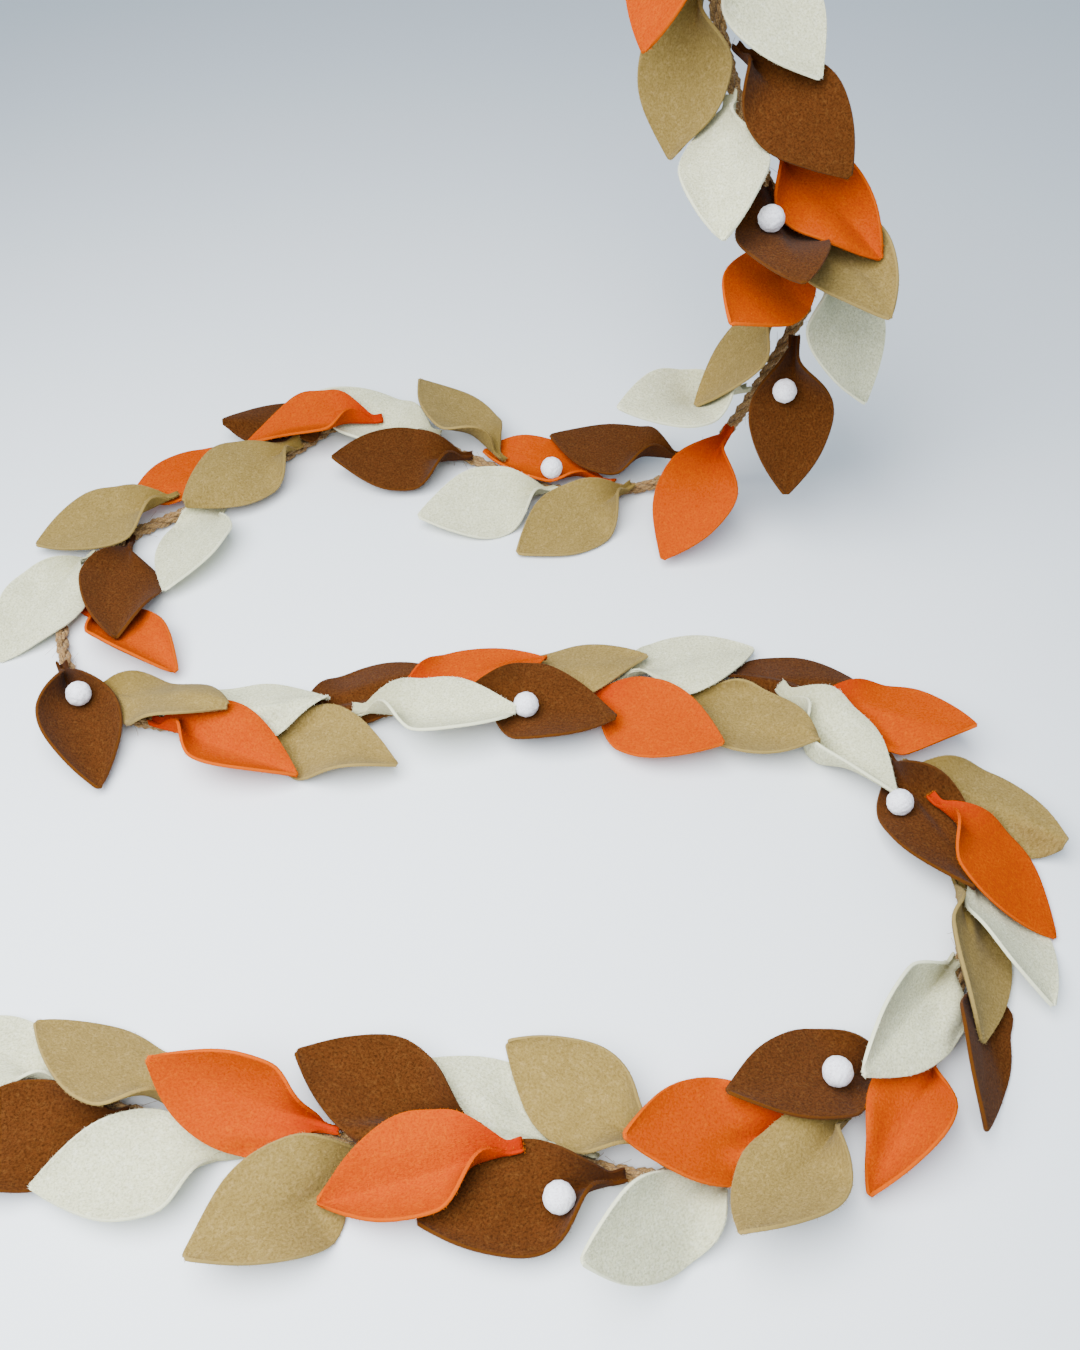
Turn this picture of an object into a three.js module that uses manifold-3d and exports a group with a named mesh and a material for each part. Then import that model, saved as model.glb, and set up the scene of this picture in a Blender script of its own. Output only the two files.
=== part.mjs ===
import * as THREE from "three";
import { mergeVertices } from "three/addons/utils/BufferGeometryUtils.js";
import Module from "manifold-3d";

// Felt leaf garland: seventy felt leaves and nine felt balls glued along a jute rope.
// Millimetres, +Z up. It hangs from its top knot and then lies in an S on a level surface.

// Leaf, cut from felt and pinched at its neck
const LEAF_LENGTH = 76;
const LEAF_WIDTH = 41;
const FELT = 1.5;
const BASE_HALF_WIDTH = 3.6;
const TIP_HALF_WIDTH = 0.6;
const NECK_FOLD = 64;
const NECK_SHARE = 0.08;
const CREASE_RADIUS = 2;
const LIP_FOLD = 1.35;
const INNER_FOLD = 0.8;
const LIP_TURN = 0.35;
const FOLD_START = 0.12;
const FOLD_END = 0.42;
const LEAF_ROWS = [0, 0.1, 0.22, 0.38, 0.56, 0.74, 0.89, 1];
const LEAF_COLUMNS = [-1, -0.5, 0, 0.5, 1];

// Ball, rope and glue
const BALL_DIAMETER = 11.4;
const ROPE_DIAMETER = 7;
const ROPE_STEPS = 80;
const ROPE_SIDES = 8;
const KNOT_RADIUS = 5.5;
const GLUE_RADIUS = 1.2;
const LEAD = 24;

// Clearances between pieces that lie on one another
const CLEARANCE = 0.5;
const CLEARANCE_STEP = 0.4;
const MOST_CLEARANCE = 4.5;
const LEAST_GAP = 0.3;
const STACK_REACH = 25;
const PRESS_REACH = 18;
const SEAT_ANGLE = 35;

// The leaves face the viewer while the rope hangs, and face up where it lies
const HANG_FACE = 38;
const HANG_END = 250;
const LIE_START = 340;

const COLOURS = {
  orange: 0xff7f27,
  brown: 0x8a4f24,
  tan: 0xc4ac7c,
  white: 0xdddccf,
  ball: 0xf4f1f3,
  jute: 0xa07b4b,
};
const COLOUR_CYCLE = ["tan", "orange", "white", "tan", "brown", "white", "orange", "brown"];

// Each ball: its leaf, the share of the leaf along it, then across its left (+) or right half
const BALLS = [
  [7, 0.46, -0.3],
  [12, 0.34, -0.3],
  [17, 0.4, 0.77],
  [23, 0.4, -0.17],
  [31, 0.34, 0.3],
  [39, 0.46, -0.17],
  [47, 0.4, -0.45],
  [55, 0.46, 0.17],
  [60, 0.29, 0.61],
];

// Leaves that lie against the next one and are glued to it as a sprig
const SPRIG_STARTS = [
  17, 19, 23, 25, 29, 33, 35, 37, 39, 41, 43, 45, 47, 49, 51, 53, 55, 65, 67, 69,
];

// Rope route: x to the right, y away from the viewer, z above the surface it lies on
const ROUTE = [
  [62, 596, 312],
  [66, 587, 290],
  [73, 566, 240],
  [85, 550, 205],
  [100, 538, 174],
  [123, 533, 135],
  [127, 531, 115],
  [120, 528, 96],
  [103, 522, 58],
  [90, 524, 30],
  [75, 526, 12],
  [58, 522, 5],
  [40, 520, 4],
  [5, 520, 4],
  [-42, 547, 4],
  [-82, 569, 4],
  [-108, 575, 4],
  [-136, 550, 4],
  [-176, 510, 4],
  [-215, 482, 4],
  [-233, 450, 4],
  [-230, 408, 4],
  [-206, 374, 4],
  [-170, 362, 4],
  [-120, 364, 4],
  [-70, 371, 4],
  [-24, 381, 4],
  [30, 382, 4],
  [94, 385, 4],
  [134, 369, 4],
  [162, 334, 4],
  [177, 290, 4],
  [170, 243, 4],
  [148, 204, 4],
  [110, 181, 4],
  [72, 163, 4],
  [40, 158, 4],
  [-5, 167, 4],
  [-60, 171, 4],
  [-110, 171, 4],
  [-150, 181, 4],
  [-190, 188, 4],
  [-240, 190, 10.2],
];

// One row a leaf, from the hanging end: where it is glued along the rope in mm,
// then in degrees its compass heading, rise and droop, its roll about its midrib,
// how far its left and right edges curl up, and how many places down the pile it is tucked
const LEAVES = [
  [12, -112, -33, 0, 28, 18, 13, 0],
  [27, -46, -35, 0, 20, 12, 10, 0],
  [44, -114, -60, 18, -2, 14, 14, 0],
  [76, -48, -16, 12, 34, 10, 4, 0],
  [93, -96, -17, 4, 24, 15, 40, 0],
  [113, -38, -25, 6, 38, 60, 8, 0],
  [134, -85, 2, 0, 10, 4, 11, 0],
  [149, -60, 4, 28, 18, 16, 12, 0],
  [173, -122, 8, 0, -18, 10, 13, 0],
  [172, -50, -45, 12, 8, 28, 12, 0],
  [190, -163, -45, 8, 8, 12, 12, 0],
  [214, -93, -45, 4, 8, 24, 24, 0],
  [250, -154, 12, 0, -6, 7, 9, 0],
  [271, -124, -30, 8, -8, 12, 12, 0],
  [310, 160, -10, -10, 0, 4, 4, 0],
  [343, -144, -2, 4, -14, 8, 12, 0],
  [352, 160, 3, 8, -6, 45, 40, 0],
  [383, -163, -1, -4, -20, 6, 12, 0],
  [418, 129, 12, 8, 18, 14, 14, -3],
  [434, -174, 2, -8, -12, 5, 9, 0],
  [459, 164, 12, 0, 12, 12, 8, 0],
  [492, -167, 2, 4, 22, 45, 35, -1],
  [508, -168, 4, -4, 16, 11, 6, 0],
  [548, -136, 5, 4, -16, 9, 15, -1],
  [567, -152, 3, -4, 0, 8, 8, 0],
  [598, -106, 3, 6, 18, 15, 9, 0],
  [623, -158, 5, 12, -6, 16, 16, -2],
  [654, -84, 3, 0, 4, 42, 38, 0],
  [674, -116, -2, 6, -12, 9, 14, 0],
  [706, -38, 4, 10, -10, 70, 60, 0],
  [750, -65, 2, 8, -15, 52, 52, 0],
  [771, -18, 6, -10, -30, 2, 12, 0],
  [810, -22, 1, 4, -28, 12, 24, 0],
  [815, 5, 3, 0, -25, 4, 12, 0],
  [852, -18, 6, 10, -18, 24, 30, 0],
  [872, 20, 3, 0, -28, 4, 12, 5],
  [902, -5, 8, 0, -10, 6, 40, 0],
  [920, 18, 3, 4, -12, 8, 12, 1.5],
  [950, -14, 2, -10, -6, 14, 14, 0],
  [966, 10, 3, 0, -20, 5, 12, 0],
  [1006, -30, 2, -12, 0, 6, 5, 0],
  [1020, 17, 0, 4, -10, 3, 6, 0],
  [1049, -32, 0, 11, -10, 16, 20, 0],
  [1070, -6, 2, 2, -22, 5, 12, 3],
  [1101, -54, 0, -10, -34, 12, 40, 0],
  [1116, -24, 2, -20, -8, 0, 2, 0],
  [1163, -73, 12, 6, 8, 18, 18, 0],
  [1168, -38, 3, -6, -18, 16, 22, 0],
  [1191, -55, 0, 10, -16, 14, 20, -2],
  [1215, -74, 5, 8, -28, 12, 22, 0],
  [1228, -95, 5, 8, -36, 33, 50, 0],
  [1263, -99, 5, 2, -48, 8, 30, 0],
  [1269, -132, 12, -4, -40, 22, 38, 0],
  [1298, -123, 6, 14, 38, 26, 14, 0],
  [1320, -166, 8, -4, 16, 14, 9, 0],
  [1351, -134, 5, -28, 28, 8, 0, 0],
  [1368, -168, 6, -24, 0, 22, 22, 0],
  [1400, -146, 12, -18, -42, 8, 22, 0],
  [1425, 141, 1, 6, -20, 14, 30, 0],
  [1440, -168, 2, 0, -10, 38, 20, 3],
  [1452, 152, 4, 8, 14, 2, -4, 3],
  [1478, -168, 2, 12, 20, 30, 20, 0],
  [1495, 157, 2, -6, -8, 8, 12, 0],
  [1531, -146, 4, -8, 6, 8, 6, 0],
  [1546, 167, 8, -28, -40, 19, 36, 0],
  [1580, -168, 2, 0, -3, 28, 24, 0],
  [1600, 152, 6, 2, 30, 10, 0, 0],
  [1625, -165, 10, 30, 13, 30, 28, 0],
  [1647, 162, 5, 16, 22, 22, 16, 0],
  [1672, -178, 6, 10, -10, 14, 14, 0],
];

const wasm = await Module();
wasm.setup();

const UP = new THREE.Vector3(0, 0, 1);
const HELD = new THREE.Vector3(...ROUTE[0]);
const SURFACE_HEIGHT = -HELD.z;
const radians = THREE.MathUtils.degToRad;

// Place along the rope, with the held end as the origin
const routeCurve = new THREE.CatmullRomCurve3(
  ROUTE.map((row) => new THREE.Vector3(...row).sub(HELD)),
);
routeCurve.arcLengthDivisions = 1200;
const ROPE_LENGTH = routeCurve.getLength();

// The middle of the rope, which runs straight from step to step of its tube
function ropePoint(share) {
  const step = Math.min(Math.floor(share * ROPE_STEPS), ROPE_STEPS - 1);
  const from = routeCurve.getPointAt(step / ROPE_STEPS);
  return from.lerp(routeCurve.getPointAt((step + 1) / ROPE_STEPS), share * ROPE_STEPS - step);
}

function ease(value) {
  const t = Math.min(Math.max(value, 0), 1);
  return t * t * (3 - 2 * t);
}

function halfWidth(u) {
  const along = Math.max(u - NECK_SHARE, 0) / (1 - NECK_SHARE);
  const belly = Math.max(Math.sin(Math.PI * along ** 0.92), 0) ** 0.9;
  const base = BASE_HALF_WIDTH * (1 - u) ** 4;
  return TIP_HALF_WIDTH + base + (LEAF_WIDTH / 2 - TIP_HALF_WIDTH) * belly;
}

// The direction in which pieces are piled at a place along the rope
function stackAxis(station) {
  const face = radians(HANG_FACE * (1 - ease((station - HANG_END) / (LIE_START - HANG_END))));
  return new THREE.Vector3(0, -Math.sin(face), Math.cos(face));
}

function heading(compass, rise) {
  const flat = Math.cos(radians(rise));
  return new THREE.Vector3(
    flat * Math.cos(radians(compass)),
    flat * Math.sin(radians(compass)),
    Math.sin(radians(rise)),
  );
}

// Points of the midrib, from the glued end to the tip
function midrib(leaf, steps = 48) {
  const points = [leaf.base.clone()];
  for (let i = 0; i < steps; i += 1) {
    const u = (i + 0.5) / steps;
    const step = heading(leaf.heading, leaf.rise - leaf.droop * ease(u));
    points.push(points[i].clone().addScaledVector(step, LEAF_LENGTH / steps));
  }
  return points;
}

// Half of a cross-section as [across, up] at a share of the half width
function section(u, curl, pinch, share, steps = 12) {
  const half = halfWidth(u);
  const fold = NECK_FOLD * pinch * (1 - ease((u - FOLD_START) / (FOLD_END - FOLD_START)));
  const last = share * steps;
  let across = 0;
  let up = 0;
  for (let i = 0; i < last; i += 1) {
    const x = ((i + 0.5) / steps) * half;
    const slope = fold * Math.min(1, x / CREASE_RADIUS) + curl * (x / half) * ease(u / 0.3);
    across += (Math.cos(radians(slope)) * half) / steps;
    up += (Math.sin(radians(slope)) * half) / steps;
  }
  return [across, up];
}

// Grid of points in the middle of the felt
function leafGrid(leaf) {
  const rib = midrib(leaf);
  const lipSide = Math.cos(radians(leaf.heading)) < LIP_TURN ? 1 : -1;
  return LEAF_ROWS.map((u) => {
    const at = u * (rib.length - 1);
    const low = Math.min(Math.floor(at), rib.length - 2);
    const middle = rib[low].clone().lerp(rib[low + 1], at - low);
    const along = heading(leaf.heading, leaf.rise - leaf.droop * ease(u));
    const left = UP.clone().cross(along).normalize();
    const out = along.clone().cross(left);
    const roll = radians(leaf.roll * (0.3 + 0.7 * ease(u / 0.35)));
    left.applyAxisAngle(along, roll);
    out.applyAxisAngle(along, roll);
    return LEAF_COLUMNS.map((v) => {
      const curl = v > 0 ? leaf.left : leaf.right;
      const pinch = v * lipSide > 0 ? LIP_FOLD : INNER_FOLD;
      const [across, up] = section(u, curl, pinch, Math.abs(v));
      return middle.clone().addScaledVector(left, Math.sign(v) * across).addScaledVector(out, up);
    });
  });
}

// Value of a leaf's grid of vectors at shares along and across the leaf
function gridAt(grid, along, across) {
  const row = LEAF_ROWS.findIndex((u) => u >= along);
  const column = LEAF_COLUMNS.findIndex((v) => v >= across);
  const down = (along - LEAF_ROWS[row - 1]) / (LEAF_ROWS[row] - LEAF_ROWS[row - 1]);
  const left = LEAF_COLUMNS[column - 1];
  const over = (across - left) / (LEAF_COLUMNS[column] - left);
  const [above, below] = [row - 1, row].map((i) => grid[i][column - 1].clone().lerp(grid[i][column], over));
  return above.lerp(below, down);
}

// Outward normals of a grid of points
function gridNormals(grid) {
  return grid.map((row, i) =>
    row.map((point, j) => {
      const ahead = grid[Math.min(i + 1, grid.length - 1)][j];
      const behind = grid[Math.max(i - 1, 0)][j];
      const left = row[Math.min(j + 1, row.length - 1)];
      const right = row[Math.max(j - 1, 0)];
      return ahead.clone().sub(behind).cross(left.clone().sub(right)).normalize();
    }),
  );
}

// Felt of one thickness around the grid, as a closed mesh
function feltGeometry(grid) {
  const normals = gridNormals(grid);
  const rows = grid.length;
  const columns = grid[0].length;
  const positions = [];
  for (const side of [1, -1]) {
    grid.forEach((row, i) =>
      row.forEach((point, j) => {
        const face = point.clone().addScaledVector(normals[i][j], (side * FELT) / 2);
        positions.push(face.x, face.y, face.z);
      }),
    );
  }
  const top = (i, j) => i * columns + j;
  const under = (i, j) => rows * columns + i * columns + j;
  const index = [];
  const quad = (a, b, c, d) => index.push(a, b, c, a, c, d);
  for (let i = 0; i < rows - 1; i += 1) {
    for (let j = 0; j < columns - 1; j += 1) {
      quad(top(i, j), top(i + 1, j), top(i + 1, j + 1), top(i, j + 1));
      quad(under(i, j), under(i, j + 1), under(i + 1, j + 1), under(i + 1, j));
    }
    quad(top(i, 0), under(i, 0), under(i + 1, 0), top(i + 1, 0));
    const edge = columns - 1;
    quad(top(i, edge), top(i + 1, edge), under(i + 1, edge), under(i, edge));
  }
  for (let j = 0; j < columns - 1; j += 1) {
    const end = rows - 1;
    quad(top(0, j), top(0, j + 1), under(0, j + 1), under(0, j));
    quad(top(end, j), under(end, j), under(end, j + 1), top(end, j + 1));
  }
  const geometry = new THREE.BufferGeometry();
  geometry.setAttribute("position", new THREE.Float32BufferAttribute(positions, 3));
  geometry.setIndex(index);
  return geometry;
}

// Triangles of a piece and points along its edges, with a sphere around them for a quick test
function layDown(geometry, solid = null) {
  const position = geometry.attributes.position;
  const index = geometry.index;
  const corner = (i) => new THREE.Vector3().fromBufferAttribute(position, index.getX(i));
  const triangles = [];
  for (let i = 0; i < index.count; i += 3) {
    const triangle = new THREE.Triangle(corner(i), corner(i + 1), corner(i + 2));
    triangles.push({ triangle });
  }
  geometry.computeBoundingSphere();
  const probes = triangles.flatMap(({ triangle }) => {
    const { a, b, c } = triangle;
    return [a, a.clone().lerp(b, 0.33), a.clone().lerp(b, 0.67), a.clone().lerp(c, 0.5)];
  });
  return { triangles, probes, solid, sphere: geometry.boundingSphere };
}

// How far above a point, along an axis, the highest thing of the pile lies
function highestAbove(point, axis, pieces) {
  const ray = new THREE.Ray(point.clone().addScaledVector(axis, -400), axis);
  const hit = new THREE.Vector3();
  let highest = -Infinity;
  for (const piece of pieces) {
    if (ray.distanceToPoint(piece.sphere.center) > piece.sphere.radius) continue;
    for (const { triangle } of piece.triangles) {
      if (!ray.intersectTriangle(triangle.a, triangle.b, triangle.c, false, hit)) continue;
      const height = hit.sub(point).dot(axis);
      if (height > highest && height < STACK_REACH) highest = height;
    }
  }
  return highest;
}

function blend(grid, i, j, a, b) {
  const near = grid[i][j].clone().lerp(grid[i][j + 1], b);
  const far = grid[i + 1][j].clone().lerp(grid[i + 1][j + 1], b);
  return near.lerp(far, a);
}

function sheetGeometry(grid) {
  const columns = grid[0].length;
  const index = [];
  for (let i = 0; i < grid.length - 1; i += 1) {
    for (let j = 0; j < columns - 1; j += 1) {
      const corner = i * columns + j;
      index.push(corner, corner + columns, corner + 1);
      index.push(corner + 1, corner + columns, corner + columns + 1);
    }
  }
  const geometry = new THREE.BufferGeometry();
  const places = grid.flat().flatMap((point) => point.toArray());
  geometry.setAttribute("position", new THREE.Float32BufferAttribute(places, 3));
  geometry.setIndex(index);
  return geometry;
}

// Evens out a field of moves over a grid, never below what each point needs
function spread(need, passes) {
  let field = need;
  for (let pass = 0; pass < passes; pass += 1) {
    field = field.map((row, i) =>
      row.map((value, j) => {
        const around = [
          value,
          field[Math.max(i - 1, 0)][j],
          field[Math.min(i + 1, field.length - 1)][j],
          row[Math.max(j - 1, 0)],
          row[Math.min(j + 1, row.length - 1)],
        ];
        const mean = around.reduce((sum, x) => sum + x, 0) / around.length;
        return Math.max(need[i][j], mean);
      }),
    );
  }
  return field;
}

// Presses the hidden parts of a leaf down, under the leaves that cover it
function pressUnder(grid, axis, covers, ropePiece) {
  const normals = gridNormals(grid);
  const need = grid.map((row, i) =>
    row.map((point, j) => {
      const lean = Math.max(Math.abs(normals[i][j].dot(axis)), 0.4);
      const room = (FELT + CLEARANCE) / lean;
      let press = 0;
      for (const cover of covers) {
        const height = highestAbove(point, axis, [cover]);
        if (height > -PRESS_REACH && height < room) press = Math.max(press, room - height);
      }
      return press;
    }),
  );
  const press = spread(need, 2);
  const floor = SURFACE_HEIGHT + CLEARANCE + FELT / 2;
  return grid.map((row, i) =>
    row.map((point, j) => {
      const overRope = -highestAbove(point, axis, [ropePiece]) - FELT / 2 - CLEARANCE;
      const overSurface = (point.z - floor) / axis.z;
      const down = Math.min(press[i][j], Math.max(Math.min(overRope, overSurface), 0));
      return point.clone().addScaledVector(axis, -down);
    }),
  );
}

// Raises a leaf's grid until it clears the pieces below it
function restOnPile(grid, axis, pieces, clearance) {
  const normals = gridNormals(grid);
  const need = grid.map((row) => row.map(() => 0));
  const shares = [0, 0.25, 0.5, 0.75, 1];
  for (let i = 0; i < grid.length - 1; i += 1) {
    for (let j = 0; j < grid[0].length - 1; j += 1) {
      const lean = Math.max(Math.abs(normals[i][j].dot(axis)), 0.4);
      for (const a of shares) {
        for (const b of shares) {
          const above = highestAbove(blend(grid, i, j, a, b), axis, pieces);
          const lift = above + FELT / 2 / lean + clearance;
          for (const [m, n] of [[i, j], [i + 1, j], [i, j + 1], [i + 1, j + 1]]) {
            need[m][n] = Math.max(need[m][n], lift);
          }
        }
      }
    }
  }
  const sheet = layDown(sheetGeometry(grid));
  const hit = new THREE.Vector3();
  for (const piece of pieces) {
    const reach = piece.sphere.radius + sheet.sphere.radius + STACK_REACH;
    if (piece.sphere.center.distanceTo(sheet.sphere.center) > reach) continue;
    for (const probe of piece.probes) {
      const ray = new THREE.Ray(probe.clone().addScaledVector(axis, -400), axis);
      if (ray.distanceToPoint(sheet.sphere.center) > sheet.sphere.radius) continue;
      sheet.triangles.forEach(({ triangle }, k) => {
        if (!ray.intersectTriangle(triangle.a, triangle.b, triangle.c, false, hit)) return;
        const height = probe.clone().sub(hit).dot(axis);
        const cell = Math.floor(k / 2);
        const i = Math.floor(cell / (grid[0].length - 1));
        const j = cell % (grid[0].length - 1);
        const lean = Math.max(Math.abs(normals[i][j].dot(axis)), 0.4);
        const above = height + FELT / 2 / lean + clearance;
        if (above < 0 || height > STACK_REACH) return;
        for (const [m, n] of [[i, j], [i + 1, j], [i, j + 1], [i + 1, j + 1]]) {
          need[m][n] = Math.max(need[m][n], above);
        }
      });
    }
  }
  const lift = spread(need, 4);
  const floor = SURFACE_HEIGHT + CLEARANCE + FELT / 2;
  return grid.map((row, i) =>
    row.map((point, j) => {
      const raised = point.clone().addScaledVector(axis, lift[i][j]);
      raised.z = Math.max(raised.z, floor);
      return raised;
    }),
  );
}

function isClear(solid, sphere, pieces) {
  return pieces.every((piece) => {
    const apart = piece.sphere.center.distanceTo(sphere.center);
    if (apart > piece.sphere.radius + sphere.radius + LEAST_GAP) return true;
    return solid.minGap(piece.solid, LEAST_GAP) >= LEAST_GAP;
  });
}

// Lays a leaf on the pile with the smallest clearance that keeps it off every piece
function layLeaf(leaf, pieces) {
  const pressed = leaf.grid;
  for (let gap = CLEARANCE; gap < MOST_CLEARANCE; gap += CLEARANCE_STEP) {
    leaf.grid = restOnPile(pressed, leaf.axis, pieces, gap);
    leaf.geometry = feltGeometry(leaf.grid);
    leaf.solid = solidOf(leaf.geometry);
    leaf.piece = layDown(leaf.geometry, leaf.solid);
    if (isClear(leaf.solid, leaf.piece.sphere, pieces)) return;
  }
}

// Pushes a ball off the felt around it until it just clears
function seatBall(centre, pieces) {
  const radius = BALL_DIAMETER / 2 + CLEARANCE / 2;
  const nearest = new THREE.Vector3();
  for (let pass = 0; pass < 60; pass += 1) {
    let push = null;
    let closest = radius;
    for (const piece of pieces) {
      if (piece.sphere.center.distanceTo(centre) > piece.sphere.radius + radius) continue;
      for (const { triangle } of piece.triangles) {
        triangle.closestPointToPoint(centre, nearest);
        const distance = nearest.distanceTo(centre);
        if (distance < closest - 0.01) {
          closest = distance;
          push = centre.clone().sub(nearest).normalize();
        }
      }
    }
    if (!push) return centre;
    centre.addScaledVector(push, radius - closest + 0.02);
  }
  return centre;
}

function solidOf(geometry) {
  const welded = mergeVertices(geometry.index ? geometry : geometry.clone(), 1e-4);
  welded.deleteAttribute("normal");
  welded.deleteAttribute("uv");
  const clean = mergeVertices(welded, 1e-3);
  return new wasm.Manifold(
    new wasm.Mesh({
      numProp: 3,
      vertProperties: new Float32Array(clean.attributes.position.array),
      triVerts: new Uint32Array(clean.index.array),
    }),
  );
}

function geometryOf(solid) {
  const mesh = solid.getMesh();
  const geometry = new THREE.BufferGeometry();
  geometry.setAttribute("position", new THREE.BufferAttribute(mesh.vertProperties, 3));
  geometry.setIndex(new THREE.BufferAttribute(mesh.triVerts, 1));
  return geometry;
}

// Overhand knot at a rope end, as two rings around the rope that lean across each other
function knot(at, along) {
  const rings = [22, -22].map((lean) => {
    const ring = new THREE.TorusGeometry(KNOT_RADIUS, ROPE_DIAMETER / 2, 7, 12);
    ring.applyQuaternion(new THREE.Quaternion().setFromUnitVectors(UP, along));
    const across = new THREE.Vector3(0, 1, 0).cross(along).normalize();
    ring.applyQuaternion(new THREE.Quaternion().setFromAxisAngle(across, radians(lean)));
    ring.translate(at.x, at.y, at.z);
    return solidOf(ring);
  });
  return rings[0].add(rings[1]);
}

function ropeSolid() {
  const profile = new THREE.Shape();
  for (let i = 0; i < ROPE_SIDES; i += 1) {
    const turn = (2 * Math.PI * i) / ROPE_SIDES;
    const x = (Math.cos(turn) * ROPE_DIAMETER) / 2;
    const y = (Math.sin(turn) * ROPE_DIAMETER) / 2;
    if (i === 0) profile.moveTo(x, y);
    else profile.lineTo(x, y);
  }
  const tube = new THREE.ExtrudeGeometry(profile, {
    steps: ROPE_STEPS,
    extrudePath: routeCurve,
  });
  let rope = solidOf(tube);
  for (const share of [0.004, 0.994]) {
    rope = rope.add(knot(routeCurve.getPointAt(share), routeCurve.getTangentAt(share)));
  }
  return rope;
}

function readLeaf(row, index) {
  const [place, compass, rise, droop, roll, left, right, tucked] = row;
  const station = LEAD + place;
  const number = index + 1;
  const share = Math.min(Math.max(station / ROPE_LENGTH, 0), 1);
  const axis = stackAxis(station);
  const along = routeCurve.getTangentAt(share);
  const side = along.clone().cross(axis).normalize();
  const face = side.clone().cross(along);
  const seat = (ROPE_DIAMETER + FELT) / 2 + CLEARANCE;
  const hand = number % 2 === 1 ? 1 : -1;
  const base = ropePoint(share)
    .addScaledVector(face, seat * Math.cos(radians(SEAT_ANGLE)))
    .addScaledVector(side, hand * seat * Math.sin(radians(SEAT_ANGLE)));
  const colour = COLOUR_CYCLE[number % COLOUR_CYCLE.length];
  return { number, base, heading: compass, rise, droop, roll, left, right, tucked, axis, colour };
}

function makeMesh(name, geometry, colour) {
  const material = new THREE.MeshStandardMaterial({ color: COLOURS[colour] });
  material.name = `${colour}_felt`;
  const mesh = new THREE.Mesh(geometry, material);
  mesh.name = name;
  return mesh;
}

// A dab of glue where two leaves of a sprig come closest
function glueBetween(first, second) {
  const gap = { distance: Infinity, middle: new THREE.Vector3() };
  const nearest = new THREE.Vector3();
  for (const a of first.piece.triangles) {
    for (const b of second.piece.triangles) {
      for (const corner of [b.triangle.a, b.triangle.b, b.triangle.c]) {
        a.triangle.closestPointToPoint(corner, nearest);
        const distance = nearest.distanceTo(corner);
        if (distance < gap.distance) {
          gap.distance = distance;
          gap.middle = nearest.clone().lerp(corner, 0.5);
        }
      }
    }
  }
  const dab = new THREE.SphereGeometry(GLUE_RADIUS + gap.distance / 2, 8, 5);
  dab.translate(gap.middle.x, gap.middle.y, gap.middle.z);
  return solidOf(dab);
}

const ropeBody = ropeSolid();
const rope = geometryOf(ropeBody);
const pile = [layDown(rope, ropeBody)];
const leaves = LEAVES.map(readLeaf);
const balls = [];

// Lowest first: each leaf lies over those that follow it along the rope
const order = [...leaves].sort((a, b) => b.number + b.tucked - (a.number + a.tucked));
const covers = [];
for (const leaf of [...order].reverse()) {
  leaf.grid = pressUnder(leafGrid(leaf), leaf.axis, covers, pile[0]);
  covers.push(layDown(sheetGeometry(leaf.grid)));
}
for (const leaf of order) {
  layLeaf(leaf, pile);
  pile.push(leaf.piece);
  const [, along, across] = BALLS.find(([number]) => number === leaf.number) ?? [];
  if (along) {
    const out = gridAt(gridNormals(leaf.grid), along, across).normalize();
    const rise = (BALL_DIAMETER + FELT) / 2 + CLEARANCE;
    const centre = gridAt(leaf.grid, along, across).addScaledVector(out, rise);
    seatBall(centre, pile);
    const ball = new THREE.SphereGeometry(BALL_DIAMETER / 2, 10, 7);
    ball.translate(centre.x, centre.y, centre.z);
    const solid = solidOf(ball);
    const geometry = geometryOf(solid);
    pile.push(layDown(geometry, solid));
    balls.push(makeMesh(`ball_on_leaf_${leaf.number}`, geometry, "ball"));
  }
}

const garland = new THREE.Group();
garland.name = "felt_leaf_garland";
garland.add(makeMesh("jute_rope", rope, "jute"));
for (let i = 0; i < leaves.length; i += 2) {
  const [first, second] = [leaves[i], leaves[i + 1]];
  if (SPRIG_STARTS.includes(first.number)) {
    const joined = first.solid.add(glueBetween(first, second)).add(second.solid);
    const name = `sprig_${first.number}_${second.number}`;
    garland.add(makeMesh(name, geometryOf(joined), first.colour));
  } else {
    garland.add(makeMesh(`leaf_${first.number}`, first.geometry, first.colour));
    garland.add(makeMesh(`leaf_${second.number}`, second.geometry, second.colour));
  }
}
balls.sort((a, b) => a.name.localeCompare(b.name, "en", { numeric: true }));
garland.add(...balls);

export default garland;
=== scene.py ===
"""Felt leaf garland: felt leaves and balls glued along a jute rope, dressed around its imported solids."""

import logging
import math
import random
from dataclasses import dataclass, field
from enum import Enum

import bmesh
import bpy
import numpy as np
from bpy.types import Material, Mesh, Node, NodeSocket, NodeTree, Object
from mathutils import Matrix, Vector
from mathutils.bvhtree import BVHTree


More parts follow.
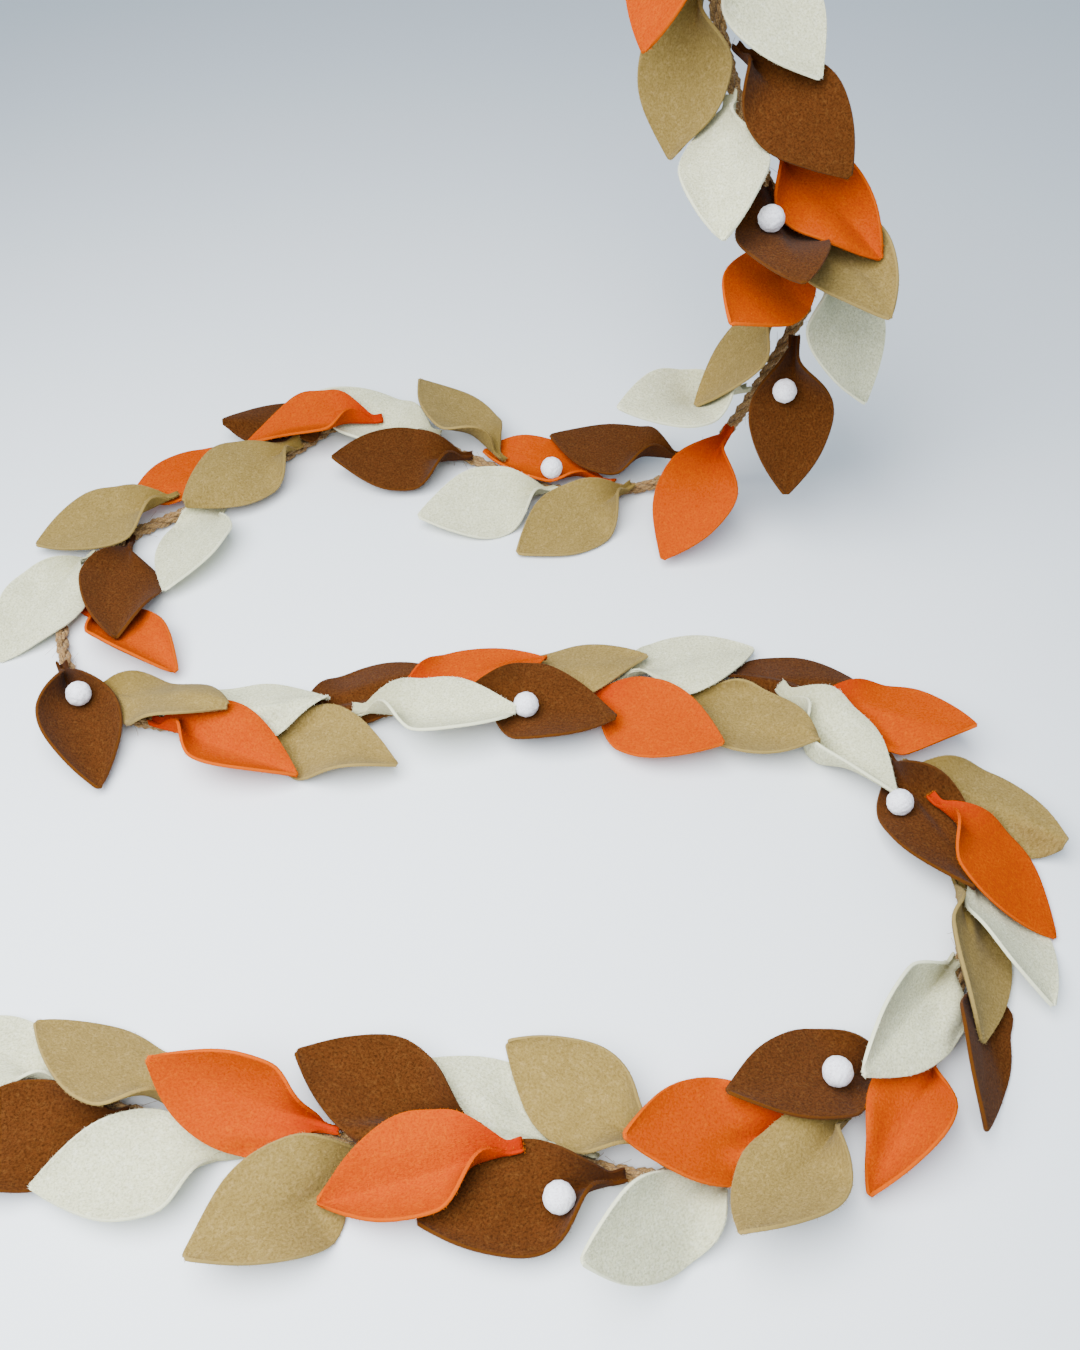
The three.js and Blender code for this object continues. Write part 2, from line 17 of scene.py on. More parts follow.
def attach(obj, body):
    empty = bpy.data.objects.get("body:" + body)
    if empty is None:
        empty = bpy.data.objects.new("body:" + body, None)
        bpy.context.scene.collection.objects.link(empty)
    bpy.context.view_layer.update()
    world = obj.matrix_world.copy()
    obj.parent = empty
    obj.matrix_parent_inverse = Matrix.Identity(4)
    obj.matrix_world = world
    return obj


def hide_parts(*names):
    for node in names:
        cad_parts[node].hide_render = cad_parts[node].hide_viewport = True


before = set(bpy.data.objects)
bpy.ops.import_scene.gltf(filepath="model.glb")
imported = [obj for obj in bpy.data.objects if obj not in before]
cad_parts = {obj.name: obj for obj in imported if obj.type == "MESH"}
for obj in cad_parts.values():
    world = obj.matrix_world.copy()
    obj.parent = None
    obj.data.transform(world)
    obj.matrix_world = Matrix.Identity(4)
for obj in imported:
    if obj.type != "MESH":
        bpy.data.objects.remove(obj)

LOG = logging.getLogger("garland")

# Lengths in the formulas are millimetres, as on the cutting mat; meshes are in metres
MM = 0.001

# Leaf, cut from felt and pinched at its neck: folds and curls in degrees, places as shares of its length
LEAF_LENGTH = 76.0
LEAF_WIDTH = 41.0
FELT = 1.5
BASE_HALF_WIDTH = 3.6
TIP_HALF_WIDTH = 0.6
NECK_FOLD = 64.0
NECK_SHARE = 0.08
CREASE_RADIUS = 2.0
LIP_FOLD = 1.35
INNER_FOLD = 0.8
LIP_TURN = 0.35
FOLD_START = 0.12
FOLD_END = 0.42
NECK_ROLL = 0.3
ROLL_END = 0.35
RIB_STEPS = 96
TRIM = 0.35

# Look of the felt: how strongly the painted shade darkens its necks, and how far its fibres are matted out of line
NECK_PAINTED_SHADE = 0.75
MATTING = 0.3

# Loose fibres of a leaf: how many stand off its cut edge and its faces, and their size
EDGE_FIBRES = 620
FACE_FIBRES = 380
FIBRE_RADIUS = 0.08
FIBRE_LENGTH = 1.3
SPIKE_CORNERS = (0.0, 2.094, 4.189)
SPIKE_FACES = ((0, 2, 1), (0, 1, 3), (1, 2, 3), (2, 0, 3))

# Ball and rope: the rope's lead before the first leaf, each knot's distance from its end, steps along the route
BALL_DIAMETER = 11.4
BALL_GAP = 0.05
ROPE_DIAMETER = 7.0
LEAD = 24.0
HELD_KNOT = 7.0
FAR_KNOT = 10.4
TUBE_STEP = 6.0
PATH_STEP = 8.0

# How the leaves are seated and piled: gaps and reaches, and rounds of smoothing
CLEARANCE = 0.35
CLEARANCES = (CLEARANCE, CLEARANCE * 0.6)
LEAST_LEAN = 0.4
NEAR = 60.0
STACK_REACH = 25.0
PRESS_REACH = 18.0
PRESS_PASSES = 16
REST_PASSES = 24
BALL_PUSHES = 60
SEAT_ANGLE = 35.0
HANG_FACE = 38.0
HANG_END = 250.0
LIE_START = 340.0

# The photograph's camera, over the table
CAMERA_PITCH = 51.0
CAMERA_LENS = 35.0
CAMERA_SENSOR = 36.0
CAMERA_HEIGHT = 0.488

# Rope route in metres: x to the right, y away from the viewer, z above the surface; first the part that lies flat
LYING_HEIGHT = 0.004
LYING = [
    (0.040, 0.520), (0.005, 0.520), (-0.042, 0.547), (-0.082, 0.569), (-0.108, 0.575),
    (-0.136, 0.550), (-0.176, 0.510), (-0.215, 0.482), (-0.233, 0.450), (-0.230, 0.408),
    (-0.206, 0.374), (-0.170, 0.362), (-0.120, 0.364), (-0.070, 0.371), (-0.024, 0.381),
    (0.030, 0.382), (0.094, 0.385), (0.134, 0.369), (0.162, 0.334), (0.177, 0.290),
    (0.170, 0.243), (0.148, 0.204), (0.110, 0.181), (0.072, 0.163), (0.040, 0.158),
    (-0.005, 0.167), (-0.060, 0.171), (-0.110, 0.171), (-0.150, 0.181), (-0.190, 0.188),
]  # fmt: skip
ROUTE = [
    (0.062, 0.596, 0.312),
    (0.066, 0.587, 0.290),
    (0.073, 0.566, 0.240),
    (0.085, 0.550, 0.205),
    (0.100, 0.538, 0.174),
    (0.123, 0.533, 0.135),
    (0.127, 0.531, 0.115),
    (0.120, 0.528, 0.096),
    (0.103, 0.522, 0.058),
    (0.090, 0.524, 0.030),
    (0.075, 0.526, 0.012),
    (0.058, 0.522, 0.005),
    *((x, y, LYING_HEIGHT) for x, y in LYING),
    (-0.240, 0.190, 0.0102),
]
SURFACE = -ROUTE[0][2] / MM

# Each leaf: place along the rope (mm), then degrees: heading, rise, droop, roll, curl of its left and
# right half; last, by how many leaves it is tucked under those that follow
LEAVES = [
    (12, -112, -33, 0, 28, 18, 13, 0),
    (27, -46, -35, 0, 20, 12, 10, 0),
    (44, -114, -60, 18, -2, 14, 14, 0),
    (76, -48, -16, 12, 34, 10, 4, 0),
    (93, -96, -17, 4, 24, 15, 40, 0),
    (113, -38, -25, 6, 38, 60, 8, 0),
    (134, -85, 2, 0, 10, 4, 11, 0),
    (149, -60, 4, 28, 18, 16, 12, 0),
    (173, -122, 8, 0, -18, 10, 13, 0),
    (172, -50, -45, 12, 8, 28, 12, 0),
    (190, -163, -45, 8, 8, 12, 12, 0),
    (214, -93, -45, 4, 8, 24, 24, 0),
    (250, -154, 12, 0, -6, 7, 9, 0),
    (271, -124, -30, 8, -8, 12, 12, 0),
    (310, 160, -10, -10, 0, 4, 4, 0),
    (343, -144, -2, 4, -14, 8, 12, 0),
    (352, 160, 3, 8, -6, 45, 40, 0),
    (383, -163, -1, -4, -20, 6, 12, 0),
    (418, 129, 12, 8, 18, 14, 14, -3),
    (434, -174, 2, -8, -12, 5, 9, 0),
    (459, 164, 12, 0, 12, 12, 8, 0),
    (492, -167, 2, 4, 22, 45, 35, -1),
    (508, -168, 4, -4, 16, 11, 6, 0),
    (548, -136, 5, 4, -16, 9, 15, -1),
    (567, -152, 3, -4, 0, 8, 8, 0),
    (598, -106, 3, 6, 18, 15, 9, 0),
    (623, -158, 5, 12, -6, 16, 16, -2),
    (654, -84, 3, 0, 4, 42, 38, 0),
    (674, -116, -2, 6, -12, 9, 14, 0),
    (706, -38, 4, 10, -10, 70, 60, 0),
    (750, -65, 2, 8, -15, 52, 52, 0),
    (771, -18, 6, -10, -30, 2, 12, 0),
    (810, -22, 1, 4, -28, 12, 24, 0),
    (815, 5, 3, 0, -25, 4, 12, 0),
    (852, -18, 6, 10, -18, 24, 30, 0),
    (872, 20, 3, 0, -28, 4, 12, 5),
    (902, -5, 8, 0, -10, 6, 40, 0),
    (920, 18, 3, 4, -12, 8, 12, 1.5),
    (950, -14, 2, -10, -6, 14, 14, 0),
    (966, 10, 3, 0, -20, 5, 12, 0),
    (1006, -30, 2, -12, 0, 6, 5, 0),
    (1020, 17, 0, 4, -10, 3, 6, 0),
    (1049, -32, 0, 11, -10, 16, 20, 0),
    (1070, -6, 2, 2, -22, 5, 12, 3),
    (1101, -54, 0, -10, -34, 12, 40, 0),
    (1116, -24, 2, -20, -8, 0, 2, 0),
    (1163, -73, 12, 6, 8, 18, 18, 0),
    (1168, -38, 3, -6, -18, 16, 22, 0),
    (1191, -55, 0, 10, -16, 14, 20, -2),
    (1215, -74, 5, 8, -28, 12, 22, 0),
    (1228, -95, 5, 8, -36, 33, 50, 0),
    (1263, -99, 5, 2, -48, 8, 30, 0),
    (1269, -132, 12, -4, -40, 22, 38, 0),
    (1298, -123, 6, 14, 38, 26, 14, 0),
    (1320, -166, 8, -4, 16, 14, 9, 0),
    (1351, -134, 5, -28, 28, 8, 0, 0),
    (1368, -168, 6, -24, 0, 22, 22, 0),
    (1400, -146, 12, -18, -42, 8, 22, 0),
    (1425, 141, 1, 6, -20, 14, 30, 0),
    (1440, -168, 2, 0, -10, 38, 20, 3),
    (1452, 152, 4, 8, 14, 2, -4, 3),
    (1478, -168, 2, 12, 20, 30, 20, 0),
    (1495, 157, 2, -6, -8, 8, 12, 0),
    (1531, -146, 4, -8, 6, 8, 6, 0),
    (1546, 167, 8, -28, -40, 19, 36, 0),
    (1580, -168, 2, 0, -3, 28, 24, 0),
    (1600, 152, 6, 2, 30, 10, 0, 0),
    (1625, -165, 10, 30, 13, 30, 28, 0),
    (1647, 162, 5, 16, 22, 22, 16, 0),
    (1672, -178, 6, 10, -10, 14, 14, 0),
]
COLOUR_CYCLE = ("tan", "orange", "white", "tan", "brown", "white", "orange", "brown")

# Ball on each of these leaves: share of the leaf along it, then across its left (+) or right half
BALLS = {
    7: (0.46, -0.24),
    12: (0.34, -0.30),
    17: (0.40, 0.77),
    23: (0.40, -0.17),
    31: (0.34, 0.30),
    39: (0.46, -0.17),
    47: (0.40, -0.45),
    55: (0.46, 0.17),
    60: (0.29, 0.61),
}


class FeltColour(Enum):
    """The felt colours, each with the record's slot of its name."""

    ORANGE = "orange"
    BROWN = "brown"
    TAN = "tan"
    WHITE = "white"

    @property
    def slot(self) -> str:
        """The record's material slot of this felt."""
        return f"{self.value}_felt"


def ease(value: np.ndarray | float) -> np.ndarray | float:
    """Smooth step from 0 to 1.

    Args:
        value: Share, which is held between 0 and 1.

    Returns:
        The eased share.
    """
    t = np.clip(value, 0.0, 1.0)
    return t * t * (3 - 2 * t)


def unit(vectors: np.ndarray) -> np.ndarray:
    """Scales vectors to length one.

    Args:
        vectors: Vectors along the last axis.

    Returns:
        The unit vectors.
    """
    length = np.linalg.norm(vectors, axis=-1, keepdims=True)
    return vectors / np.maximum(length, 1e-9)


def walked(line: np.ndarray) -> np.ndarray:
    """Distance along a line at each of its points."""
    return np.concatenate([[0], np.cumsum(np.linalg.norm(np.diff(line, axis=0), axis=1))])


def on_line(at: np.ndarray | float, stations: np.ndarray, line: np.ndarray) -> np.ndarray:
    """Finds points on a line.

    Args:
        at: Station or stations of the points.
        stations: Station of each point of the line.
        line: Points of the line.

    Returns:
        The point or points.
    """
    return np.stack([np.interp(at, stations, line[:, k]) for k in range(3)], axis=-1)


def half_width(u: np.ndarray | float) -> np.ndarray | float:
    """Half the width of the flat leaf.

    Args:
        u: Share of the length, from the glued neck to the tip.

    Returns:
        Half width in millimetres.
    """
    along = np.maximum(u - NECK_SHARE, 0) / (1 - NECK_SHARE)
    belly = np.maximum(np.sin(math.pi * along**0.92), 0) ** 0.9
    base = BASE_HALF_WIDTH * (1 - u) ** 4
    return TIP_HALF_WIDTH + base + (LEAF_WIDTH / 2 - TIP_HALF_WIDTH) * belly


def linear(hex_colour: str) -> tuple[float, float, float, float]:
    """Turns an sRGB hex colour to linear RGBA.

    Args:
        hex_colour: Colour as "#RRGGBB".

    Returns:
        Linear red, green, blue and an alpha of one.
    """
    parts = [int(hex_colour[i : i + 2], 16) / 255 for i in (1, 3, 5)]
    made = [c / 12.92 if c <= 0.04045 else ((c + 0.055) / 1.055) ** 2.4 for c in parts]
    return (made[0], made[1], made[2], 1.0)


def add_node(tree: NodeTree, kind: str, settings: dict | None = None, **sockets: object) -> Node:
    """Adds a shader node with its settings, values and links.

    Args:
        tree: Node tree that takes the node.
        kind: Node type, such as "ShaderNodeMix".
        settings: Attributes of the node, set before its sockets.
        sockets: Values or output sockets for inputs; spaces in names are underscores, "i3" is input number 3.

    Returns:
        The new node.
    """
    node = tree.nodes.new(kind)
    for name, value in (settings or {}).items():
        setattr(node, name, value)
    for name, value in sockets.items():
        numbered = name[0] == "i" and name[1:].isdigit()
        target = node.inputs[int(name[1:])] if numbered else node.inputs[name.replace("_", " ")]
        if isinstance(value, NodeSocket):
            tree.links.new(value, target)
        else:
            target.default_value = value
    return node


def new_material(name: str) -> tuple[Material, NodeTree]:
    """Makes an empty node material.

    Args:
        name: Name of the material.

    Returns:
        The material and its cleared node tree.
    """
    material = bpy.data.materials.new(name)
    material.use_nodes = True
    material.node_tree.nodes.clear()
    return material, material.node_tree


def grain(tree: NodeTree, place: NodeSocket, size_mm: float, detail: float, **more: float) -> NodeSocket:
    """Noise whose grain has a real size.

    Args:
        tree: Node tree of the material.
        place: Coordinates in metres.
        size_mm: Size of the grain in millimetres.
        detail: Finer levels of the noise.
        more: Other values of the noise.

    Returns:
        The noise value's socket.
    """
    scale = 1 / (size_mm * MM)
    return add_node(tree, "ShaderNodeTexNoise", None, Vector=place, Scale=scale, Detail=detail, **more).outputs["Fac"]


def share_of(tree: NodeTree, value: NodeSocket, start: float, end: float, most: float = 1.0) -> NodeSocket:
    """Share that grows up to most while a value goes from start to end."""
    made = add_node(tree, "ShaderNodeMapRange", None, Value=value, From_Min=start, From_Max=end, To_Max=most)
    return made.outputs[0]


def mixed(tree: NodeTree, share: object, first: object, second: object, blend: str = "MIX") -> NodeSocket:
    """Mixes two colours, each a hex string, a colour or a socket."""
    first = linear(first) if isinstance(first, str) else first
    second = linear(second) if isinstance(second, str) else second
    settings = {"data_type": "RGBA", "blend_type": blend}
    return add_node(tree, "ShaderNodeMix", settings, i0=share, i6=first, i7=second).outputs[2]


def surfaced(tree: NodeTree, height: NodeSocket, strength: float, depth_mm: float, **sockets: object) -> None:
    """Ends a material with a bumped surface.

    Args:
        tree: Node tree of the material.
        height: Height of the bump.
        strength: Strength of the bump.
        depth_mm: Depth of the bump in millimetres.
        sockets: Values and sockets of the surface.
    """
    bump = add_node(tree, "ShaderNodeBump", None, Strength=strength, Distance=depth_mm * MM, Height=height)
    surface = add_node(tree, "ShaderNodeBsdfPrincipled", None, Normal=bump.outputs["Normal"], **sockets)
    add_node(tree, "ShaderNodeOutputMaterial", None, Surface=surface.outputs[0])


@dataclass(frozen=True)
class FeltFinish:
    """Craft felt: matted fibres, matt and mottled, with a painted highlight along its cut rim and painted shade in its
    pinched neck.

    The colours are those of the cloth, its dark specks and its pale fibres, then the painted highlight for the cut rim
    and the painted shade for the neck.
    """

    name: str
    base: str
    shade: str
    light: str
    # Colour of the painted highlight along the cut rim
    cut: str
    # Colour of the painted shade in the pinched neck
    neck: str
    speckle: float = 0.5
    fleck: float = 0.35
    sheen: float = 0.08
    fibre_mm: float = 1.0
    fleck_mm: float = 2.4
    cloud_mm: float = 8.0
    comb_mm: float = 1.5
    comb_turns: tuple[float, float] = (31.0, -52.0)
    bump_mm: float = 0.5

    def build(self) -> Material:
        """Makes the felt material on the flat cut's own UV map, which is in metres."""
        material, tree = new_material(self.name)
        cloth = add_node(tree, "ShaderNodeUVMap", {"uv_map": "cut"}).outputs["UV"]
        # Mask of the cut rim, where a painted highlight is laid
        edge = add_node(tree, "ShaderNodeAttribute", {"attribute_name": "painted_rim_highlight"}).outputs["Fac"]
        # Mask of the painted shade that darkens the pinched neck
        pinched = add_node(tree, "ShaderNodeAttribute", {"attribute_name": "painted_neck_shade"}).outputs["Fac"]
        fibre = grain(tree, cloth, self.fibre_mm, 3.0, Roughness=0.7, Distortion=MATTING)
        fleck = grain(tree, cloth, self.fleck_mm, 3.0, Roughness=0.6, Distortion=MATTING)
        cloud = grain(tree, cloth, self.cloud_mm, 2.0, Roughness=0.5, Distortion=MATTING)
        combed, crossed = (self._combed(tree, cloth, turn) for turn in self.comb_turns)
        matted = add_node(tree, "ShaderNodeMath", {"operation": "ADD"}, i0=combed, i1=crossed).outputs[0]
        clouded = mixed(tree, share_of(tree, cloud, 0.36, 0.66, 0.5), self.base, self._clouded())
        flecked = mixed(tree, share_of(tree, fleck, 0.5, 0.7, self.fleck), clouded, self.light)
        fibred = mixed(tree, share_of(tree, matted, 1.0, 1.35, self.fleck), flecked, self.light)
        speckled = mixed(tree, share_of(tree, fibre, 0.56, 0.34, self.speckle), fibred, self.shade)
        # Painted highlight along the cut rim
        rim_highlighted = mixed(tree, edge, speckled, self.cut)
        # Painted shade laid over the pinched neck
        colour = mixed(tree, pinched, rim_highlighted, self.neck)
        height = add_node(tree, "ShaderNodeMath", {"operation": "MULTIPLY_ADD"}, i0=matted, i1=0.5, i2=fibre).outputs[0]
        cloth_look = {"Roughness": 0.95, "Specular_IOR_Level": 0.0, "Sheen_Weight": self.sheen, "Sheen_Roughness": 0.5}
        surfaced(tree, height, 0.7, self.bump_mm, Base_Color=colour, **cloth_look)
        return material

    def _clouded(self) -> tuple[float, ...]:
        """Colour of the felt's broad darker clouds, part of the way from its base to its shade."""
        return tuple(base + (shade - base) * 0.4 for base, shade in zip(linear(self.base), linear(self.shade)))

    def _combed(self, tree: NodeTree, place: NodeSocket, turn: float) -> NodeSocket:
        """Long fibres that lie in one direction, which is in degrees."""
        turned = add_node(tree, "ShaderNodeMapping", None, Vector=place)
        turned.inputs["Rotation"].default_value = (0, 0, math.radians(turn))
        turned.inputs["Scale"].default_value = (1.0, 4.0, 1.0)
        return grain(tree, turned.outputs[0], self.comb_mm, 2.5, Roughness=0.6, Distortion=MATTING)


# Each finish: name, then cloth, specks, flecks, painted rim highlight and painted neck shade colours
FELTS = {
    # Vivid and without gloss, with painted red shade in its pinched necks
    FeltColour.ORANGE: FeltFinish(
        "orange_craft_felt", "#B24400", "#962C00", "#C45C00", "#BA4E00", "#A01800", speckle=0.7, fleck=0.35, sheen=0.0
    ),
    # Warm rust brown with the most grain, with painted near-black shade in its necks
    FeltColour.BROWN: FeltFinish(
        "brown_craft_felt", "#522C11", "#311806", "#66411D", "#563010", "#331705", speckle=0.85, fleck=0.4, sheen=0.04
    ),
    # Soft straw colour with pale flecks
    FeltColour.TAN: FeltFinish(
        "tan_craft_felt", "#8A733D", "#604B22", "#A48B56", "#917A45", "#66501F", speckle=0.6, fleck=0.45, sheen=0.06
    ),
    # Warm ivory with fine grey specks, a little dull beside the balls
    FeltColour.WHITE: FeltFinish(
        "ivory_craft_felt", "#D6D3AA", "#969270", "#ECEACE", "#DEDCB8", "#A6A07A", speckle=0.65, fleck=0.5, sheen=0.06
    ),
}


@dataclass(frozen=True)
class JuteFinish:
    """Jute yarn: dry, hairy plant fibre in straw and brown, matt with a faint lengthwise gloss."""

    name: str = "twisted_jute_yarn"
    base: str = "#98713F"
    shade: str = "#523716"
    light: str = "#CDAA72"
    fibre_mm: float = 0.5
    patch_mm: float = 9.0

    def build(self) -> Material:
        """Makes the jute material on object coordinates."""
        material, tree = new_material(self.name)
        place = add_node(tree, "ShaderNodeTexCoord").outputs["Object"]
        fibre = grain(tree, place, self.fibre_mm, 4.0, Roughness=0.7)
        patch = grain(tree, place, self.patch_mm, 2.0)
        ramp = add_node(tree, "ShaderNodeValToRGB", None, Fac=fibre)
        ramp.color_ramp.elements[0].position = 0.34
        ramp.color_ramp.elements[0].color = linear(self.shade)
        ramp.color_ramp.elements[1].position = 0.68
        ramp.color_ramp.elements[1].color = linear(self.light)
        ramp.color_ramp.elements.new(0.5).color = linear(self.base)
        colour = mixed(tree, 0.5, ramp.outputs[0], patch, "MULTIPLY")
        yarn_look = {"Roughness": 0.8, "Specular_IOR_Level": 0.3, "Sheen_Weight": 0.15}
        surfaced(tree, fibre, 0.8, 0.25, Base_Color=colour, **yarn_look)
        return material


@dataclass(frozen=True)
class BallFinish:
    """Felted wool ball: white fibres rolled into a tight, slightly fuzzy ball."""

    name: str = "felted_wool_ball"
    base: str = "#F6F3F4"
    shade: str = "#D8CFD2"
    fibre_mm: float = 0.7
    dimple_mm: float = 3.0

    def build(self) -> Material:
        """Makes the wool material on object coordinates."""
        material, tree = new_material(self.name)
        place = add_node(tree, "ShaderNodeTexCoord").outputs["Object"]
        fibre = grain(tree, place, self.fibre_mm, 4.0, Distortion=0.8)
        dimple = grain(tree, place, self.dimple_mm, 2.0)
        colour = mixed(tree, share_of(tree, fibre, 0.32, 0.55), self.shade, self.base)
        height = add_node(tree, "ShaderNodeMath", {"operation": "MULTIPLY_ADD"}, i0=fibre, i1=0.4, i2=dimple).outputs[0]
        wool_look = {"Roughness": 0.9, "Specular_IOR_Level": 0.2, "Sheen_Weight": 0.3, "Sheen_Roughness": 0.4}
        surfaced(tree, height, 0.5, 0.4, Base_Color=colour, **wool_look)
        return material


@dataclass(frozen=True)
class FibreFinish:
    """Loose felt fibres: single hairs, matt and a little lighter than the cloth."""

    name: str
    base: str

    def build(self) -> Material:
        """Makes the plain material of the fibres."""
        material, tree = new_material(self.name)
        fibre_look = {"Base_Color": linear(self.base), "Roughness": 0.9, "Specular_IOR_Level": 0.0}
        surface = add_node(tree, "ShaderNodeBsdfPrincipled", None, **fibre_look)
        add_node(tree, "ShaderNodeOutputMaterial", None, Surface=surface.outputs[0])
        return material


@dataclass(frozen=True)
class TableFinish:
    """Matt white board: pale and even, with a barely cool cast."""

    name: str = "matt_white_board"
    base: str = "#EEF0F0"
    teeth_per_m: float = 900.0

    def build(self) -> Material:
        """Makes the board's material, with a faint tooth so that it isn't perfectly even."""
        material, tree = new_material(self.name)
        place = add_node(tree, "ShaderNodeTexCoord").outputs["Object"]
        tooth = add_node(tree, "ShaderNodeTexNoise", None, Vector=place, Scale=self.teeth_per_m, Detail=2.0)
        board_look = {"Base_Color": linear(self.base), "Roughness": 0.6, "Specular_IOR_Level": 0.2}
        surfaced(tree, tooth.outputs["Fac"], 0.1, 0.05, **board_look)
        return material


class RopeRoute:
    """The smooth line of the rope, in millimetres from its held end."""

    samples_per_span: int = 90

    def __init__(self, points: list[tuple[float, float, float]]) -> None:
        """Runs a centripetal Catmull-Rom curve through the points.

        Args:
            points: Route points in metres.
        """
        knots = (np.array(points) - np.array(points[0])) / MM
        knots = np.vstack([2 * knots[0] - knots[1], knots, 2 * knots[-1] - knots[-2]])
        line = [self._span(*knots[i : i + 4]) for i in range(len(knots) - 3)]
        self.line = np.vstack([*line, knots[-2][None]])
        self.stations = walked(self.line)
        self.length = float(self.stations[-1])

    def _span(self, before: np.ndarray, start: np.ndarray, end: np.ndarray, after: np.ndarray) -> np.ndarray:
        """Points along one span of the curve, from start and short of end."""
        gaps = [np.linalg.norm(b - a) ** 0.5 for a, b in ((before, start), (start, end), (end, after))]
        leave = (start - before) / gaps[0] - (end - before) / (gaps[0] + gaps[1]) + (end - start) / gaps[1]
        arrive = (end - start) / gaps[1] - (after - start) / (gaps[1] + gaps[2]) + (after - end) / gaps[2]
        leave, arrive = leave * gaps[1], arrive * gaps[1]
        t = np.linspace(0, 1, self.samples_per_span, endpoint=False)[:, None]
        square = -3 * start + 3 * end - 2 * leave - arrive
        cube = 2 * start - 2 * end + leave + arrive
        return start + leave * t + square * t**2 + cube * t**3

    def point(self, station: float) -> np.ndarray:
        """Middle of the rope at a station in millimetres."""
        return on_line(station, self.stations, self.line)

    def tangent(self, station: float) -> np.ndarray:
        """Direction of travel at a station."""
        return unit(self.point(station + 0.5) - self.point(station - 0.5))

    def spaced(self, step: float) -> tuple[np.ndarray, np.ndarray]:
        """Stations and points at even steps.

        Args:
            step: Spacing in millimetres.

        Returns:
            The stations and the points.
        """
        stations = np.linspace(0, self.length, max(int(self.length / step), 2))
        return stations, np.array([self.point(s) for s in stations])


def stack_axis(station: float) -> np.ndarray:
    """Direction in which pieces are piled at a station of the rope."""
    face = math.radians(HANG_FACE) * (1 - ease((station - HANG_END) / (LIE_START - HANG_END)))
    return np.array([0.0, -math.sin(face), math.cos(face)])


def carried_frames(line: np.ndarray) -> tuple[np.ndarray, np.ndarray]:
    """Two directions across a line that don't twist along it.

    Args:
        line: Points of the line.

    Returns:
        The two directions at each point.
    """
    along = unit(np.gradient(line, axis=0))
    first = unit(np.cross(along[0], [0.3, 0.2, 1.0]))
    sides = [first]
    for direction in along[1:]:
        side = sides[-1] - direction * np.dot(sides[-1], direction)
        sides.append(unit(side))
    across = np.array(sides)
    return across, np.cross(along, across)


@dataclass
class LaidPiece:
    """A piece of the pile: its surface for rays, its middle and reach, and its outer points."""

    tree: BVHTree
    middle: np.ndarray
    reach: float
    probes: np.ndarray

    @classmethod
    def of(cls, points: np.ndarray, faces: list[tuple[int, ...]], probes: np.ndarray) -> "LaidPiece":
        """Makes a piece from points and faces in millimetres."""
        middle = (points.min(0) + points.max(0)) / 2
        reach = float(np.linalg.norm(points - middle, axis=1).max())
        tree = BVHTree.FromPolygons([Vector(p) for p in points], faces)
        return cls(tree, middle, reach, probes)

    @classmethod
    def of_mesh(cls, mesh: Mesh, every: int = 1) -> "LaidPiece":
        """Makes a piece from a mesh in metres, with one in so many of its points as a probe."""
        points = np.array([v.co for v in mesh.vertices]) / MM
        return cls.of(points, [tuple(p.vertices) for p in mesh.polygons], points[::every])

    def height_over(self, point: np.ndarray, axis: np.ndarray, reach: float) -> float:
        """Height along the axis of the highest surface near a point.

        Args:
            point: Where the ray passes.
            axis: Direction of up.
            reach: How far above the point the ray starts.

        Returns:
            The height over the point, or minus infinity.
        """
        away = self.middle - point
        if np.linalg.norm(away - axis * np.dot(away, axis)) > self.reach:
            return -math.inf
        hit = self.tree.ray_cast(Vector(point + axis * reach), Vector(-axis), 2 * reach + NEAR)
        return reach - hit[3] if hit[0] is not None else -math.inf


def quads(rows: int, columns: int) -> list[tuple[int, int, int, int]]:
    """Faces of a grid, so that face k is row k // (columns - 1)."""
    return [
        (i * columns + j, (i + 1) * columns + j, (i + 1) * columns + j + 1, i * columns + j + 1)
        for i in range(rows - 1)
        for j in range(columns - 1)
    ]


def rim_cells(rows: int, columns: int) -> list[tuple[int, int]]:
    """Outer cells of a grid in their order around it, with the first again at the end."""
    rim = [(0, j) for j in range(columns)] + [(i, columns - 1) for i in range(1, rows)]
    return rim + [(rows - 1, j) for j in range(columns - 2, -1, -1)] + [(i, 0) for i in range(rows - 2, -1, -1)]


